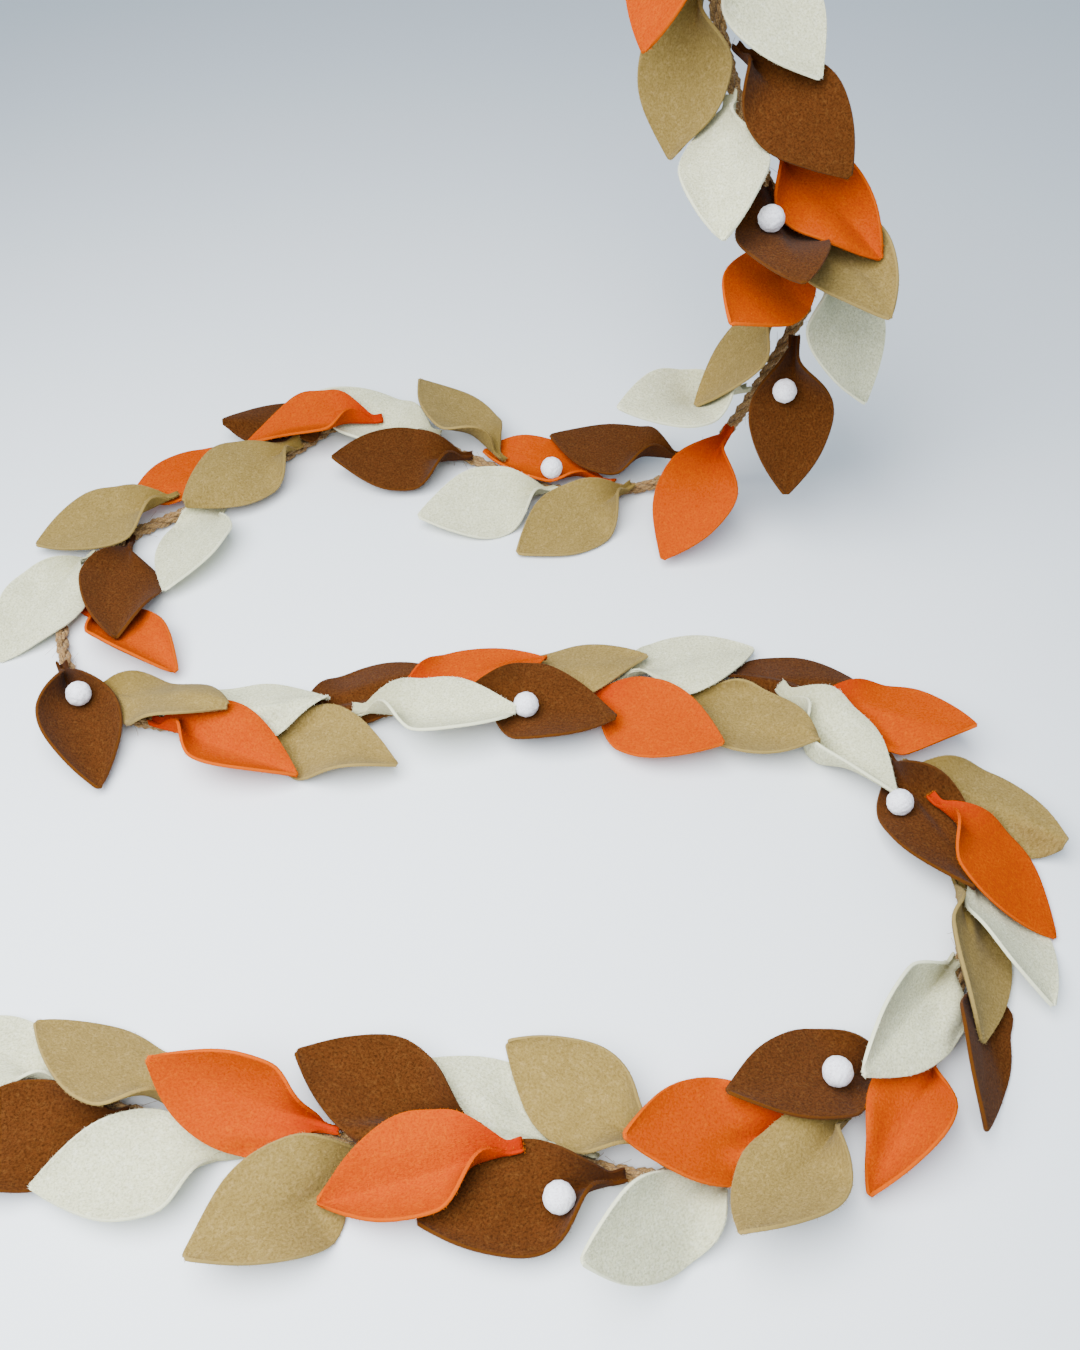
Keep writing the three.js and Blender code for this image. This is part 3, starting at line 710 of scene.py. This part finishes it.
@dataclass
class FeltLeaf:
    """One felt leaf: its pattern bent, rolled and curled as it lies in the garland."""

    number: int
    place: float
    compass: float
    rise: float
    droop: float
    roll: float
    left: float
    right: float
    tucked: float
    route: RopeRoute
    rows: tuple[float, ...] = (
        0, 0.04, 0.08, 0.12, 0.16, 0.2, 0.24, 0.29, 0.34, 0.4, 0.46, 0.52,
        0.58, 0.64, 0.7, 0.76, 0.82, 0.87, 0.92, 0.96, 0.985, 1,
    )  # fmt: skip
    columns: tuple[float, ...] = (
        -1, -0.975, -0.9, -0.77, -0.61, -0.45, -0.3, -0.17, -0.07,
        0, 0.07, 0.17, 0.3, 0.45, 0.61, 0.77, 0.9, 0.975, 1,
    )  # fmt: skip
    wave: float = 1.3
    grid: np.ndarray = field(init=False)

    def __post_init__(self) -> None:
        """Finds where the leaf is glued and bends it to shape."""
        station = LEAD + self.place
        self.axis = stack_axis(station)
        along = self.route.tangent(station)
        side = unit(np.cross(along, self.axis))
        face = np.cross(side, along)
        seat = (ROPE_DIAMETER + FELT) / 2 + CLEARANCE
        hand = 1 if self.number % 2 else -1
        turn = math.radians(SEAT_ANGLE)
        self.base = self.route.point(station) + seat * (face * math.cos(turn) + side * hand * math.sin(turn))
        self.grid = self._bent()

    @property
    def name(self) -> str:
        """Name of the piece."""
        return f"felt_leaf_{self.number:02d}"

    @property
    def colour(self) -> FeltColour:
        """The leaf's felt."""
        return FeltColour(COLOUR_CYCLE[self.number % len(COLOUR_CYCLE)])

    def _heading(self, u: np.ndarray | float) -> np.ndarray:
        """Direction of the midrib at a share of the length."""
        lean = np.radians(self.rise - self.droop * ease(u))
        turn = math.radians(self.compass)
        flat = np.cos(lean)
        return np.stack([flat * math.cos(turn), flat * math.sin(turn), np.sin(lean)], axis=-1)

    def _section(self, u: float, curl: float, pinch: float, steps: int = 36) -> tuple[np.ndarray, np.ndarray]:
        """Half of the cross-section at a row.

        Args:
            u: Share of the length.
            curl: Upward curl in degrees.
            pinch: How strongly this half is folded up at the neck.
            steps: Steps of the sum.

        Returns:
            Across and up, in millimetres, from the midrib to the edge.
        """
        half = half_width(u)
        share = (np.arange(steps) + 0.5) / steps
        fold = NECK_FOLD * pinch * (1 - ease((u - FOLD_START) / (FOLD_END - FOLD_START)))
        slope = np.radians(fold * np.minimum(1, share * half / CREASE_RADIUS) + curl * share * ease(u / 0.3))
        across = np.concatenate([[0], np.cumsum(np.cos(slope))]) * half / steps
        up = np.concatenate([[0], np.cumsum(np.sin(slope))]) * half / steps
        return across, up

    def _bent(self) -> np.ndarray:
        """Grid of points in the middle of the felt, rows from neck to tip."""
        chance = random.Random(1000 + self.number)
        phases = [chance.uniform(0, 2 * math.pi) for _ in range(4)]
        swing = [chance.uniform(0.5, 1.0) * self.wave for _ in range(4)]
        lip = 1 if math.cos(math.radians(self.compass)) < LIP_TURN else -1
        steps = self._heading((np.arange(RIB_STEPS) + 0.5) / RIB_STEPS) * LEAF_LENGTH / RIB_STEPS
        rib = np.vstack([[0, 0, 0], np.cumsum(steps, axis=0)]) + self.base
        rib_at = np.linspace(0, 1, RIB_STEPS + 1)
        made = np.zeros((len(self.rows), len(self.columns), 3))
        for i, u in enumerate(self.rows):
            middle = on_line(u, rib_at, rib)
            along = self._heading(u)
            left = unit(np.cross([0, 0, 1], along))
            out = np.cross(along, left)
            roll = math.radians(self.roll * (NECK_ROLL + (1 - NECK_ROLL) * ease(u / ROLL_END)))
            left, out = left * math.cos(roll) + out * math.sin(roll), out * math.cos(roll) - left * math.sin(roll)
            halves = {
                1: self._section(u, self.left, LIP_FOLD if lip > 0 else INNER_FOLD),
                -1: self._section(u, self.right, INNER_FOLD if lip > 0 else LIP_FOLD),
            }
            for j, v in enumerate(self.columns):
                hand = 1 if v > 0 else -1
                across, up = halves[hand]
                at = abs(v) * (len(across) - 1)
                x = np.interp(at, np.arange(len(across)), across)
                z = np.interp(at, np.arange(len(up)), up)
                k = 0 if hand > 0 else 2
                ripple = swing[k] * math.sin(2.1 * math.pi * u + phases[k]) * abs(v) ** 2 * ease(u / 0.4)
                waver = math.sin(5 * math.pi * u + phases[k + 1]) * math.sin(math.pi * u)
                trim = TRIM * swing[k + 1] * waver * abs(v) ** 3
                made[i, j] = middle + left * hand * (x + trim) + out * (z + ripple)
        return made

    def normals(self) -> np.ndarray:
        """Outward normals of the grid."""
        ahead = np.gradient(self.grid, axis=0)
        sideways = np.gradient(self.grid, axis=1)
        return unit(np.cross(ahead, sideways))

    def lean(self) -> np.ndarray:
        """How square the felt lies to the pile's axis, never under the least lean."""
        return np.maximum(np.abs(self.normals() @ self.axis), LEAST_LEAN)

    def sheet(self) -> LaidPiece:
        """The middle surface alone, with face k in row k // (columns - 1)."""
        points = self.grid.reshape(-1, 3)
        return LaidPiece.of(points, quads(*self.grid.shape[:2]), points)

    def solid(self) -> LaidPiece:
        """The felt with its thickness, for what lies on it."""
        rows, columns = self.grid.shape[:2]
        offset = self.normals() * FELT / 2
        points = np.vstack([(self.grid + offset).reshape(-1, 3), (self.grid - offset).reshape(-1, 3)])
        under = rows * columns
        faces = quads(rows, columns)
        faces += [tuple(under + k for k in reversed(face)) for face in quads(rows, columns)]
        rim = rim_cells(rows, columns)
        loop = [i * columns + j for i, j in rim]
        faces += [(a, b, under + b, under + a) for a, b in zip(loop, loop[1:])]
        edge = np.array([self.grid[i, j] + offset[i, j] for i, j in rim])
        return LaidPiece.of(points, faces, np.vstack([edge, (self.grid + offset)[::2, ::2].reshape(-1, 3)]))


def spread(need: np.ndarray, passes: int) -> np.ndarray:
    """Evens out a field of moves over a grid, never below what each point needs.

    Args:
        need: Least move at each point.
        passes: Rounds of smoothing.

    Returns:
        The smooth field.
    """
    around = np.pad(need, 1, mode="edge")
    held = np.max([around[i : i + need.shape[0], j : j + need.shape[1]] for i in range(3) for j in range(3)], axis=0)
    made = held
    for k in range(passes):
        wide = np.pad(made, 1, mode="edge")
        mean = (wide[:-2, 1:-1] + wide[2:, 1:-1] + wide[1:-1, :-2] + wide[1:-1, 2:] + made) / 5
        made = np.maximum(held if k < passes - 3 else need, mean)
    return made


class Pile:
    """The pile of rope, leaves and balls, built from the surface up."""

    def __init__(self, rope: LaidPiece) -> None:
        """Starts the pile with the rope."""
        self.rope = rope
        self.pieces = [rope]
        self.floor = SURFACE + FELT / 2 + CLEARANCE

    def press_under(self, leaf: FeltLeaf, covers: list[LaidPiece]) -> None:
        """Presses the hidden parts of a leaf down, under the leaves that cover it."""
        points = leaf.grid.reshape(-1, 3)
        room = ((FELT + CLEARANCE) / leaf.lean()).reshape(-1)
        near = [c for c in covers if np.linalg.norm(c.middle - points.mean(0)) < c.reach + NEAR]
        need = np.zeros(len(points))
        most = np.zeros(len(points))
        for k, point in enumerate(points):
            for cover in near:
                height = cover.height_over(point, leaf.axis, STACK_REACH)
                if -PRESS_REACH < height < room[k]:
                    need[k] = max(need[k], room[k] - height)
            over_rope = -self.rope.height_over(point, leaf.axis, STACK_REACH) - FELT / 2 - CLEARANCE
            over_surface = (point[2] - self.floor) / leaf.axis[2]
            most[k] = max(min(over_rope, over_surface), 0)
        shape = leaf.grid.shape[:2]
        down = np.minimum(spread(need.reshape(shape), PRESS_PASSES), most.reshape(shape))
        leaf.grid = leaf.grid - down[..., None] * leaf.axis

    def rest(self, leaf: FeltLeaf) -> None:
        """Raises a leaf until it clears the pieces below it."""
        middle = leaf.grid.reshape(-1, 3).mean(0)
        near = [p for p in self.pieces if np.linalg.norm(p.middle - middle) < p.reach + NEAR]
        for clearance in CLEARANCES:
            lift = spread(self._need(leaf, near, clearance), REST_PASSES)
            leaf.grid = leaf.grid + lift[..., None] * leaf.axis
            leaf.grid[..., 2] = np.maximum(leaf.grid[..., 2], self.floor)

    def _need(self, leaf: FeltLeaf, near: list[LaidPiece], clearance: float) -> np.ndarray:
        """Least lift at each grid point.

        Args:
            leaf: Leaf to be raised.
            near: Pieces that may lie under it.
            clearance: Gap to keep.

        Returns:
            Lift in millimetres.
        """
        rows, columns = leaf.grid.shape[:2]
        lean = leaf.lean()
        need = np.zeros((rows, columns))
        for i in range(rows):
            for j in range(columns):
                for piece in near:
                    height = piece.height_over(leaf.grid[i, j], leaf.axis, STACK_REACH)
                    need[i, j] = max(need[i, j], height + FELT / 2 / lean[i, j] + clearance)
        sheet = leaf.sheet()
        up = Vector(leaf.axis)
        for piece in near:
            away = piece.probes - sheet.middle
            beside = np.linalg.norm(away - np.outer(away @ leaf.axis, leaf.axis), axis=1)
            for probe in piece.probes[beside < sheet.reach]:
                hit = sheet.tree.ray_cast(Vector(probe - leaf.axis * NEAR), up, NEAR + STACK_REACH)
                if hit[0] is None:
                    continue
                i, j = divmod(hit[2], columns - 1)
                lift = NEAR - hit[3] + FELT / 2 / lean[i, j] + clearance
                if 0 < lift < STACK_REACH:
                    near_cell = need[i : i + 2, j : j + 2]
                    np.maximum(near_cell, lift, out=near_cell)
        return need

    def seat_ball(self, centre: np.ndarray) -> np.ndarray:
        """Pushes a ball off the felt around it until it just touches.

        Args:
            centre: First guess of its middle.

        Returns:
            Its seated middle.
        """
        radius = BALL_DIAMETER / 2 + BALL_GAP
        for _ in range(BALL_PUSHES):
            closest, push = radius, None
            for piece in self.pieces:
                hit = piece.tree.find_nearest(Vector(centre), radius)
                if hit[0] is not None and hit[3] < closest - 0.01:
                    closest, push = hit[3], unit(centre - np.array(hit[0]))
            if push is None:
                break
            centre = centre + push * (radius - closest + 0.02)
        return centre


def linked(name: str, data: object) -> Object:
    """Puts a mesh, curve, camera or light in the scene, at the origin."""
    made = bpy.data.objects.new(name, data)
    bpy.context.scene.collection.objects.link(made)
    return made


def mesh_from(name: str, shape: bmesh.types.BMesh) -> Mesh:
    """Turns an edited shape into a mesh and frees it."""
    mesh = bpy.data.meshes.new(name)
    shape.to_mesh(mesh)
    shape.free()
    return mesh


def finished(name: str, mesh: Mesh, material: Material, smooth: bool = True) -> Object:
    """Puts a mesh in the scene as a piece of the garland.

    Args:
        name: Name of the piece.
        mesh: Its mesh, in metres, in the row's frame.
        material: Its material.
        smooth: Whether its faces are shaded smooth.

    Returns:
        The object, at the origin.
    """
    piece = linked(name, mesh)
    mesh.materials.clear()
    mesh.materials.append(material)
    for polygon in mesh.polygons:
        polygon.use_smooth = smooth
    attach(piece, "root")
    return piece


def swept(name: str, lines: list[np.ndarray], radii: list[float | np.ndarray], sides: int = 1) -> Mesh:
    """Sweeps round yarns along lines.

    Args:
        name: Name of the mesh.
        lines: Lines in millimetres.
        radii: Radius of each line, or one for each of its points, in millimetres.
        sides: Bevel resolution of the yarns.

    Returns:
        One mesh of all the yarns, in metres.
    """
    curve = bpy.data.curves.new(name, "CURVE")
    curve.dimensions = "3D"
    curve.bevel_depth = MM
    curve.bevel_resolution = sides
    curve.use_fill_caps = True
    for line, radius in zip(lines, radii):
        spline = curve.splines.new("POLY")
        spline.points.add(len(line) - 1)
        places = np.hstack([line * MM, np.ones((len(line), 1))])
        spline.points.foreach_set("co", places.astype(np.float32).ravel())
        spline.points.foreach_set("radius", np.broadcast_to(radius, len(line)).astype(np.float32).copy())
    holder = linked(name, curve)
    made = bpy.data.meshes.new_from_object(holder.evaluated_get(bpy.context.evaluated_depsgraph_get()))
    bpy.data.objects.remove(holder)
    bpy.data.curves.remove(curve)
    made.name = name
    return made


@dataclass
class JuteRope:
    """Three-strand jute rope with a knot at each end."""

    route: RopeRoute
    finish: Material
    strands: int = 3
    yarns: int = 3
    strand_pitch: float = 24.0
    yarn_pitch: float = 11.0
    step: float = 2.4
    yarn_radius: float = 0.86
    strand_orbit: float = 1.75
    yarn_orbit: float = 0.92
    yarn_lumps: float = 0.22
    lump_steps: int = 9
    knot_radius: float = 5.2
    knot_rise: float = 1.5
    stray_fibres: int = 420
    fibre_radius: float = 0.075
    fibre_reach: tuple[float, float] = (3, 8)

    def tube_for_pile(self) -> LaidPiece:
        """The rope as a plain tube, for what is piled on it."""
        _, line = self.route.spaced(TUBE_STEP)
        mesh = swept("pile_rope", [line], [ROPE_DIAMETER / 2], 2)
        tube = LaidPiece.of_mesh(mesh)
        bpy.data.meshes.remove(mesh)
        return tube

    def _yarn_lines(self, stations: np.ndarray, line: np.ndarray) -> list[np.ndarray]:
        """Lines of the yarns, which turn in strands that turn around the rope."""
        across, over = carried_frames(line)
        made = []
        for strand in range(self.strands):
            turn = 2 * math.pi * (stations / self.strand_pitch + strand / self.strands)
            for yarn in range(self.yarns):
                twist = 2 * math.pi * (-stations / self.yarn_pitch + yarn / self.yarns)
                x = self.strand_orbit * np.cos(turn) + self.yarn_orbit * np.cos(twist)
                y = self.strand_orbit * np.sin(turn) + self.yarn_orbit * np.sin(twist)
                made.append(line + across * x[:, None] + over * y[:, None])
        return made

    def build(self) -> Object:
        """Makes the rope's yarns along its whole route."""
        stations, line = self.route.spaced(self.step)
        chance = np.random.default_rng(7)
        lines = self._yarn_lines(stations, line)
        window = np.ones(self.lump_steps) / self.lump_steps
        radii = []
        for _ in lines:
            lumps = np.convolve(chance.normal(0, 1, len(line) + self.lump_steps - 1), window, "valid")
            radii.append(self.yarn_radius * (1 + self.yarn_lumps * lumps))
        return finished("twisted_jute_rope", swept("twisted_jute_rope", lines, radii), self.finish)

    def knot(self, name: str, station: float) -> Object:
        """Overhand knot drawn tight around the rope.

        Args:
            name: Name of the piece.
            station: Where it is, in millimetres from the held end.

        Returns:
            The knot.
        """
        turns = np.linspace(0, 2 * math.pi, 90)
        x = np.sin(turns) + 2 * np.sin(2 * turns)
        y = np.cos(turns) - 2 * np.cos(2 * turns)
        z = -np.sin(3 * turns) * self.knot_rise
        middle, along = self.route.point(station), self.route.tangent(station)
        side = unit(np.cross(along, [0.2, 1.0, 0.1]))
        over = np.cross(along, side)
        scale = self.knot_radius / 2.6
        loop = middle + (np.outer(x, side) + np.outer(y, over) + np.outer(z, along)) * scale
        lines = self._yarn_lines(walked(loop), loop)
        return finished(name, swept(name, lines, [self.yarn_radius] * len(lines)), self.finish)

    def fibres(self) -> Object:
        """Stray fibres that stand off the yarns."""
        chance = np.random.default_rng(11)
        lines = []
        for _ in range(self.stray_fibres):
            station = chance.uniform(8, self.route.length - 8)
            along = self.route.tangent(station)
            side = unit(np.cross(along, unit(chance.normal(0, 1, 3))))
            start = self.route.point(station) + side * (ROPE_DIAMETER / 2 - 0.6)
            reach = chance.uniform(*self.fibre_reach)
            lean = unit(side * chance.uniform(0.3, 1.0) + along * chance.choice([-1, 1]))
            bend = unit(chance.normal(0, 1, 3)) * reach * 0.25
            shares = np.linspace(0, 1, 5)[:, None]
            line = start + lean * reach * shares + bend * shares**2
            line[:, 2] = np.maximum(line[:, 2], SURFACE + 0.2)
            lines.append(line)
        mesh = swept("jute_stray_fibres", lines, [self.fibre_radius] * len(lines), 0)
        return finished("jute_stray_fibres", mesh, self.finish)


def leaf_piece(leaf: FeltLeaf, finish: Material) -> Object:
    """Cuts a leaf from a grid of felt and lays it in its place.

    Args:
        leaf: The leaf, already bent and laid on the pile.
        finish: The felt's material.

    Returns:
        The leaf as a piece with a thickness and a soft rim.
    """
    rows, columns = leaf.grid.shape[:2]
    cloth = bmesh.new()
    bmesh.ops.create_grid(cloth, x_segments=rows - 1, y_segments=columns - 1, size=0.5)
    cut = cloth.loops.layers.uv.new("cut")
    # Mask of the painted highlight along the cut rim
    edge = cloth.verts.layers.float.new("painted_rim_highlight")
    # Mask of the painted shade in the pinched neck
    neck = cloth.verts.layers.float.new("painted_neck_shade")
    shift = random.Random(leaf.number).uniform(0, 5)
    cells = {}
    for vert in cloth.verts:
        i = round((vert.co.x + 0.5) * (rows - 1))
        j = round((vert.co.y + 0.5) * (columns - 1))
        cells[vert] = (i, j)
        # The cut rim takes a painted highlight
        outer = j in (0, columns - 1) or i == rows - 1
        vert[edge] = 1.0 if outer else 0.0
        # Painted shade: strongest at the neck, gone where the fold ends
        vert[neck] = NECK_PAINTED_SHADE * (1 - float(ease(leaf.rows[i] / FOLD_END)))
    for face in cloth.faces:
        for loop in face.loops:
            i, j = cells[loop.vert]
            u, v = leaf.rows[i], leaf.columns[j]
            loop[cut].uv = (u * LEAF_LENGTH * MM + shift, v * float(half_width(u)) * MM)
    for vert, (i, j) in cells.items():
        vert.co = Vector(leaf.grid[i, j]) * MM
    piece = finished(leaf.name, mesh_from(leaf.name, cloth), finish)
    thick = piece.modifiers.new("felt_thickness", "SOLIDIFY")
    thick.thickness = FELT * MM
    thick.offset = 0.0
    soft = piece.modifiers.new("soft_rim", "SUBSURF")
    soft.levels = soft.render_levels = 1
    return piece


@dataclass
class LeafFuzz:
    """Loose fibres of one leaf, which soften its cut edge and its faces."""

    leaf: FeltLeaf
    finish: Material

    def _from_edge(self, chance: np.random.Generator) -> tuple[np.ndarray, np.ndarray]:
        """Roots and directions of the fibres that stand off the cut edge."""
        grid, normals = self.leaf.grid, self.leaf.normals()
        rows, columns = grid.shape[:2]
        rim = rim_cells(rows, columns)
        edge = np.array([grid[cell] for cell in rim])
        inner = np.array([grid[min(i, rows - 2), min(max(j, 1), columns - 2)] for i, j in rim])
        over = np.array([normals[cell] for cell in rim])
        stations = walked(edge)
        at = chance.uniform(0, stations[-1], EDGE_FIBRES)
        place, within, up = (on_line(at, stations, line) for line in (edge, inner, over))
        out = unit(place - within)
        roots = place - out * FELT / 3 + up * chance.uniform(-0.4, 0.4, (EDGE_FIBRES, 1)) * FELT
        return roots, unit(out + chance.normal(0, 0.5, (EDGE_FIBRES, 3)))

    def _from_faces(self, chance: np.random.Generator) -> tuple[np.ndarray, np.ndarray]:
        """Roots and directions of the fibres that lie loose on the upper and lower face."""
        grid, normals = self.leaf.grid, self.leaf.normals()
        rows, columns = grid.shape[:2]
        i = chance.integers(1, rows - 1, FACE_FIBRES)
        j = chance.integers(1, columns - 1, FACE_FIBRES)
        share = chance.uniform(0, 1, (2, FACE_FIBRES, 1))
        place = grid[i, j] + (grid[i + 1, j] - grid[i, j]) * share[0] + (grid[i, j + 1] - grid[i, j]) * share[1]
        up = normals[i, j] * chance.choice([-1, 1], (FACE_FIBRES, 1))
        return place + up * FELT / 2.2, unit(chance.normal(0, 1, (FACE_FIBRES, 3)) + up * 0.9)

    def build(self) -> Object:
        """Makes one mesh of all the fibres, each a thin closed spike."""
        name = f"felt_fibres_{self.leaf.number:02d}"
        chance = np.random.default_rng(500 + self.leaf.number)
        parts = (self._from_edge(chance), self._from_faces(chance))
        roots = np.vstack([part[0] for part in parts])
        ways = np.vstack([part[1] for part in parts])
        count = len(roots)
        side = unit(np.cross(ways, unit(chance.normal(0, 1, (count, 3)))))
        over = np.cross(ways, side)
        corners = [roots + FIBRE_RADIUS * (side * math.cos(a) + over * math.sin(a)) for a in SPIKE_CORNERS]
        tips = roots + ways * FIBRE_LENGTH * chance.uniform(0.4, 1.0, (count, 1))
        points = np.stack([*corners, tips], axis=1).reshape(-1, 3)
        points[:, 2] = np.maximum(points[:, 2], SURFACE + 0.1)
        faces = [(4 * k + a, 4 * k + b, 4 * k + c) for k in range(count) for a, b, c in SPIKE_FACES]
        mesh = bpy.data.meshes.new(name)
        mesh.from_pydata((points * MM).tolist(), [], faces)
        return finished(name, mesh, self.finish, smooth=False)


@dataclass
class FeltedBall:
    """Small felted ball, a little uneven from rolling."""

    number: int
    centre: np.ndarray
    finish: Material
    waves: int = 9
    wave_height: float = 0.035

    def build(self) -> Object:
        """Makes the ball from a subdivided icosphere."""
        name = f"felted_ball_{self.number:02d}"
        wool = bmesh.new()
        bmesh.ops.create_icosphere(wool, subdivisions=5, radius=BALL_DIAMETER / 2 * MM)
        chance = np.random.default_rng(self.number)
        swells = [
            (unit(chance.normal(0, 1, 3)), chance.uniform(2, 7), chance.uniform(0, 6)) for _ in range(self.waves)
        ]
        for vert in wool.verts:
            out = np.array(vert.co.normalized())
            swell = sum(math.sin(count * math.pi * float(out @ way) + phase) for way, count, phase in swells)
            vert.co = Vector(self.centre * MM + out * (BALL_DIAMETER / 2 + self.wave_height * swell) * MM)
        return finished(name, mesh_from(name, wool), self.finish)


@dataclass
class Studio:
    """Camera, table and soft light of the photograph; places are in metres in the row's frame."""

    table_size: float = 6.0
    box_size: float = 0.7
    box_power: float = 13.0
    box_spread: float = 140.0
    box_place: tuple[float, float, float] = (-0.28, -0.46, 0.31)
    box_aim: tuple[float, float, float] = (-0.10, -0.40, -0.312)
    box_tint: str = "#F4F9FF"
    room_tint: str = "#C6DCF2"
    room_strength: float = 0.8

    def camera(self) -> None:
        """Sets the camera over the near side, looking down at the garland."""
        lens = bpy.data.cameras.new("camera")
        lens.lens = CAMERA_LENS
        lens.sensor_width = CAMERA_SENSOR
        eye = linked("camera", lens)
        eye.location = Vector((0, 0, CAMERA_HEIGHT)) - Vector(ROUTE[0])
        eye.rotation_euler = (math.radians(90 - CAMERA_PITCH), 0, 0)
        bpy.context.scene.camera = eye

    def table(self) -> None:
        """Lays the pale board that the garland lies on."""
        board = bmesh.new()
        bmesh.ops.create_grid(board, x_segments=4, y_segments=4, size=self.table_size / 2)
        bmesh.ops.translate(board, verts=board.verts, vec=(0, 0, SURFACE * MM))
        top = linked("white_board", mesh_from("white_board", board))
        top.data.materials.append(TableFinish().build())

    def light(self) -> None:
        """Hangs the soft box and sets the even light of the room."""
        light = bpy.data.lights.new("soft_box", "AREA")
        light.shape = "SQUARE"
        light.size = self.box_size
        light.energy = self.box_power
        light.spread = math.radians(self.box_spread)
        light.color = linear(self.box_tint)[:3]
        lamp = linked("soft_box", light)
        lamp.location = self.box_place
        lamp.rotation_euler = (Vector(self.box_aim) - Vector(self.box_place)).to_track_quat("-Z", "Y").to_euler()
        world = bpy.data.worlds.new("room")
        world.use_nodes = True
        room = world.node_tree.nodes["Background"].inputs
        room["Color"].default_value = linear(self.room_tint)
        room["Strength"].default_value = self.room_strength
        bpy.context.scene.world = world


class Garland:
    """The whole garland: rope, leaves and balls, laid in their order."""

    def __init__(self) -> None:
        """Bends the leaves and makes the rope's finish."""
        self.route = RopeRoute(ROUTE)
        self.leaves = [FeltLeaf(number + 1, *row, self.route) for number, row in enumerate(LEAVES)]
        self.rope = JuteRope(self.route, JuteFinish().build())

    def _node_of(self, number: int) -> str:
        """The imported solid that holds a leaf."""
        for name in (f"leaf_{number}", f"sprig_{number}_{number + 1}", f"sprig_{number - 1}_{number}"):
            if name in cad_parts:
                return name
        raise ValueError(f"no solid holds leaf {number}")

    def lay_rope(self) -> None:
        """Lays the rope, its knots and its stray fibres."""
        rope = self.rope.build()
        far_knot = self.route.length - FAR_KNOT
        knots = [self.rope.knot("held_end_knot", HELD_KNOT), self.rope.knot("far_end_knot", far_knot)]
        fibres = self.rope.fibres()
        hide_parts("jute_rope")
        for piece in (rope, fibres, *knots):
            LOG.info("%s: %d vertices", piece.name, len(piece.data.vertices))
        _, line = self.route.spaced(PATH_STEP)

    def lay_leaves(self) -> None:
        """Piles the leaves and balls, the lowest first, and cuts each from its felt."""
        finishes = {colour: felt.build() for colour, felt in FELTS.items()}
        wool = BallFinish().build()
        pile = Pile(self.rope.tube_for_pile())
        order = sorted(self.leaves, key=lambda leaf: -(leaf.number + leaf.tucked))
        covers: list[LaidPiece] = []
        for leaf in reversed(order):
            pile.press_under(leaf, covers)
            covers.append(leaf.sheet())
        for leaf in order:
            pile.rest(leaf)
            pile.pieces.append(leaf.solid())
            if leaf.number in BALLS:
                self._add_ball(leaf, pile, wool)
        hairs = {
            colour: FibreFinish(f"loose_{colour.value}_fibre", felt.light).build()
            for colour, felt in FELTS.items()
        }
        for leaf in self.leaves:
            piece = leaf_piece(leaf, finishes[leaf.colour])
            fuzz = LeafFuzz(leaf, hairs[leaf.colour]).build()
            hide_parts(self._node_of(leaf.number))
            LOG.info("%s: %s felt", piece.name, leaf.colour.value)

    def _add_ball(self, leaf: FeltLeaf, pile: Pile, wool: Material) -> None:
        """Glues a ball on its leaf, where it just touches the felt around it."""
        along, across = BALLS[leaf.number]
        row = int(np.argmin(np.abs(np.array(leaf.rows) - along)))
        column = int(np.argmin(np.abs(np.array(leaf.columns) - across)))
        out = leaf.normals()[row, column]
        centre = pile.seat_ball(leaf.grid[row, column] + out * (BALL_DIAMETER + FELT) / 2)
        ball = FeltedBall(leaf.number, centre, wool).build()
        pile.pieces.append(LaidPiece.of_mesh(ball.data, every=40))
        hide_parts(f"ball_on_leaf_{leaf.number}")
        LOG.info("%s sits on leaf %d", ball.name, leaf.number)


def main() -> None:
    """Builds the studio and the garland."""
    logging.basicConfig(level=logging.INFO, format="%(message)s")
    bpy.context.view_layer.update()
    studio = Studio()
    studio.camera()
    garland = Garland()
    garland.lay_rope()
    garland.lay_leaves()
    studio.table()
    studio.light()


if __name__ == "__main__":
    main()
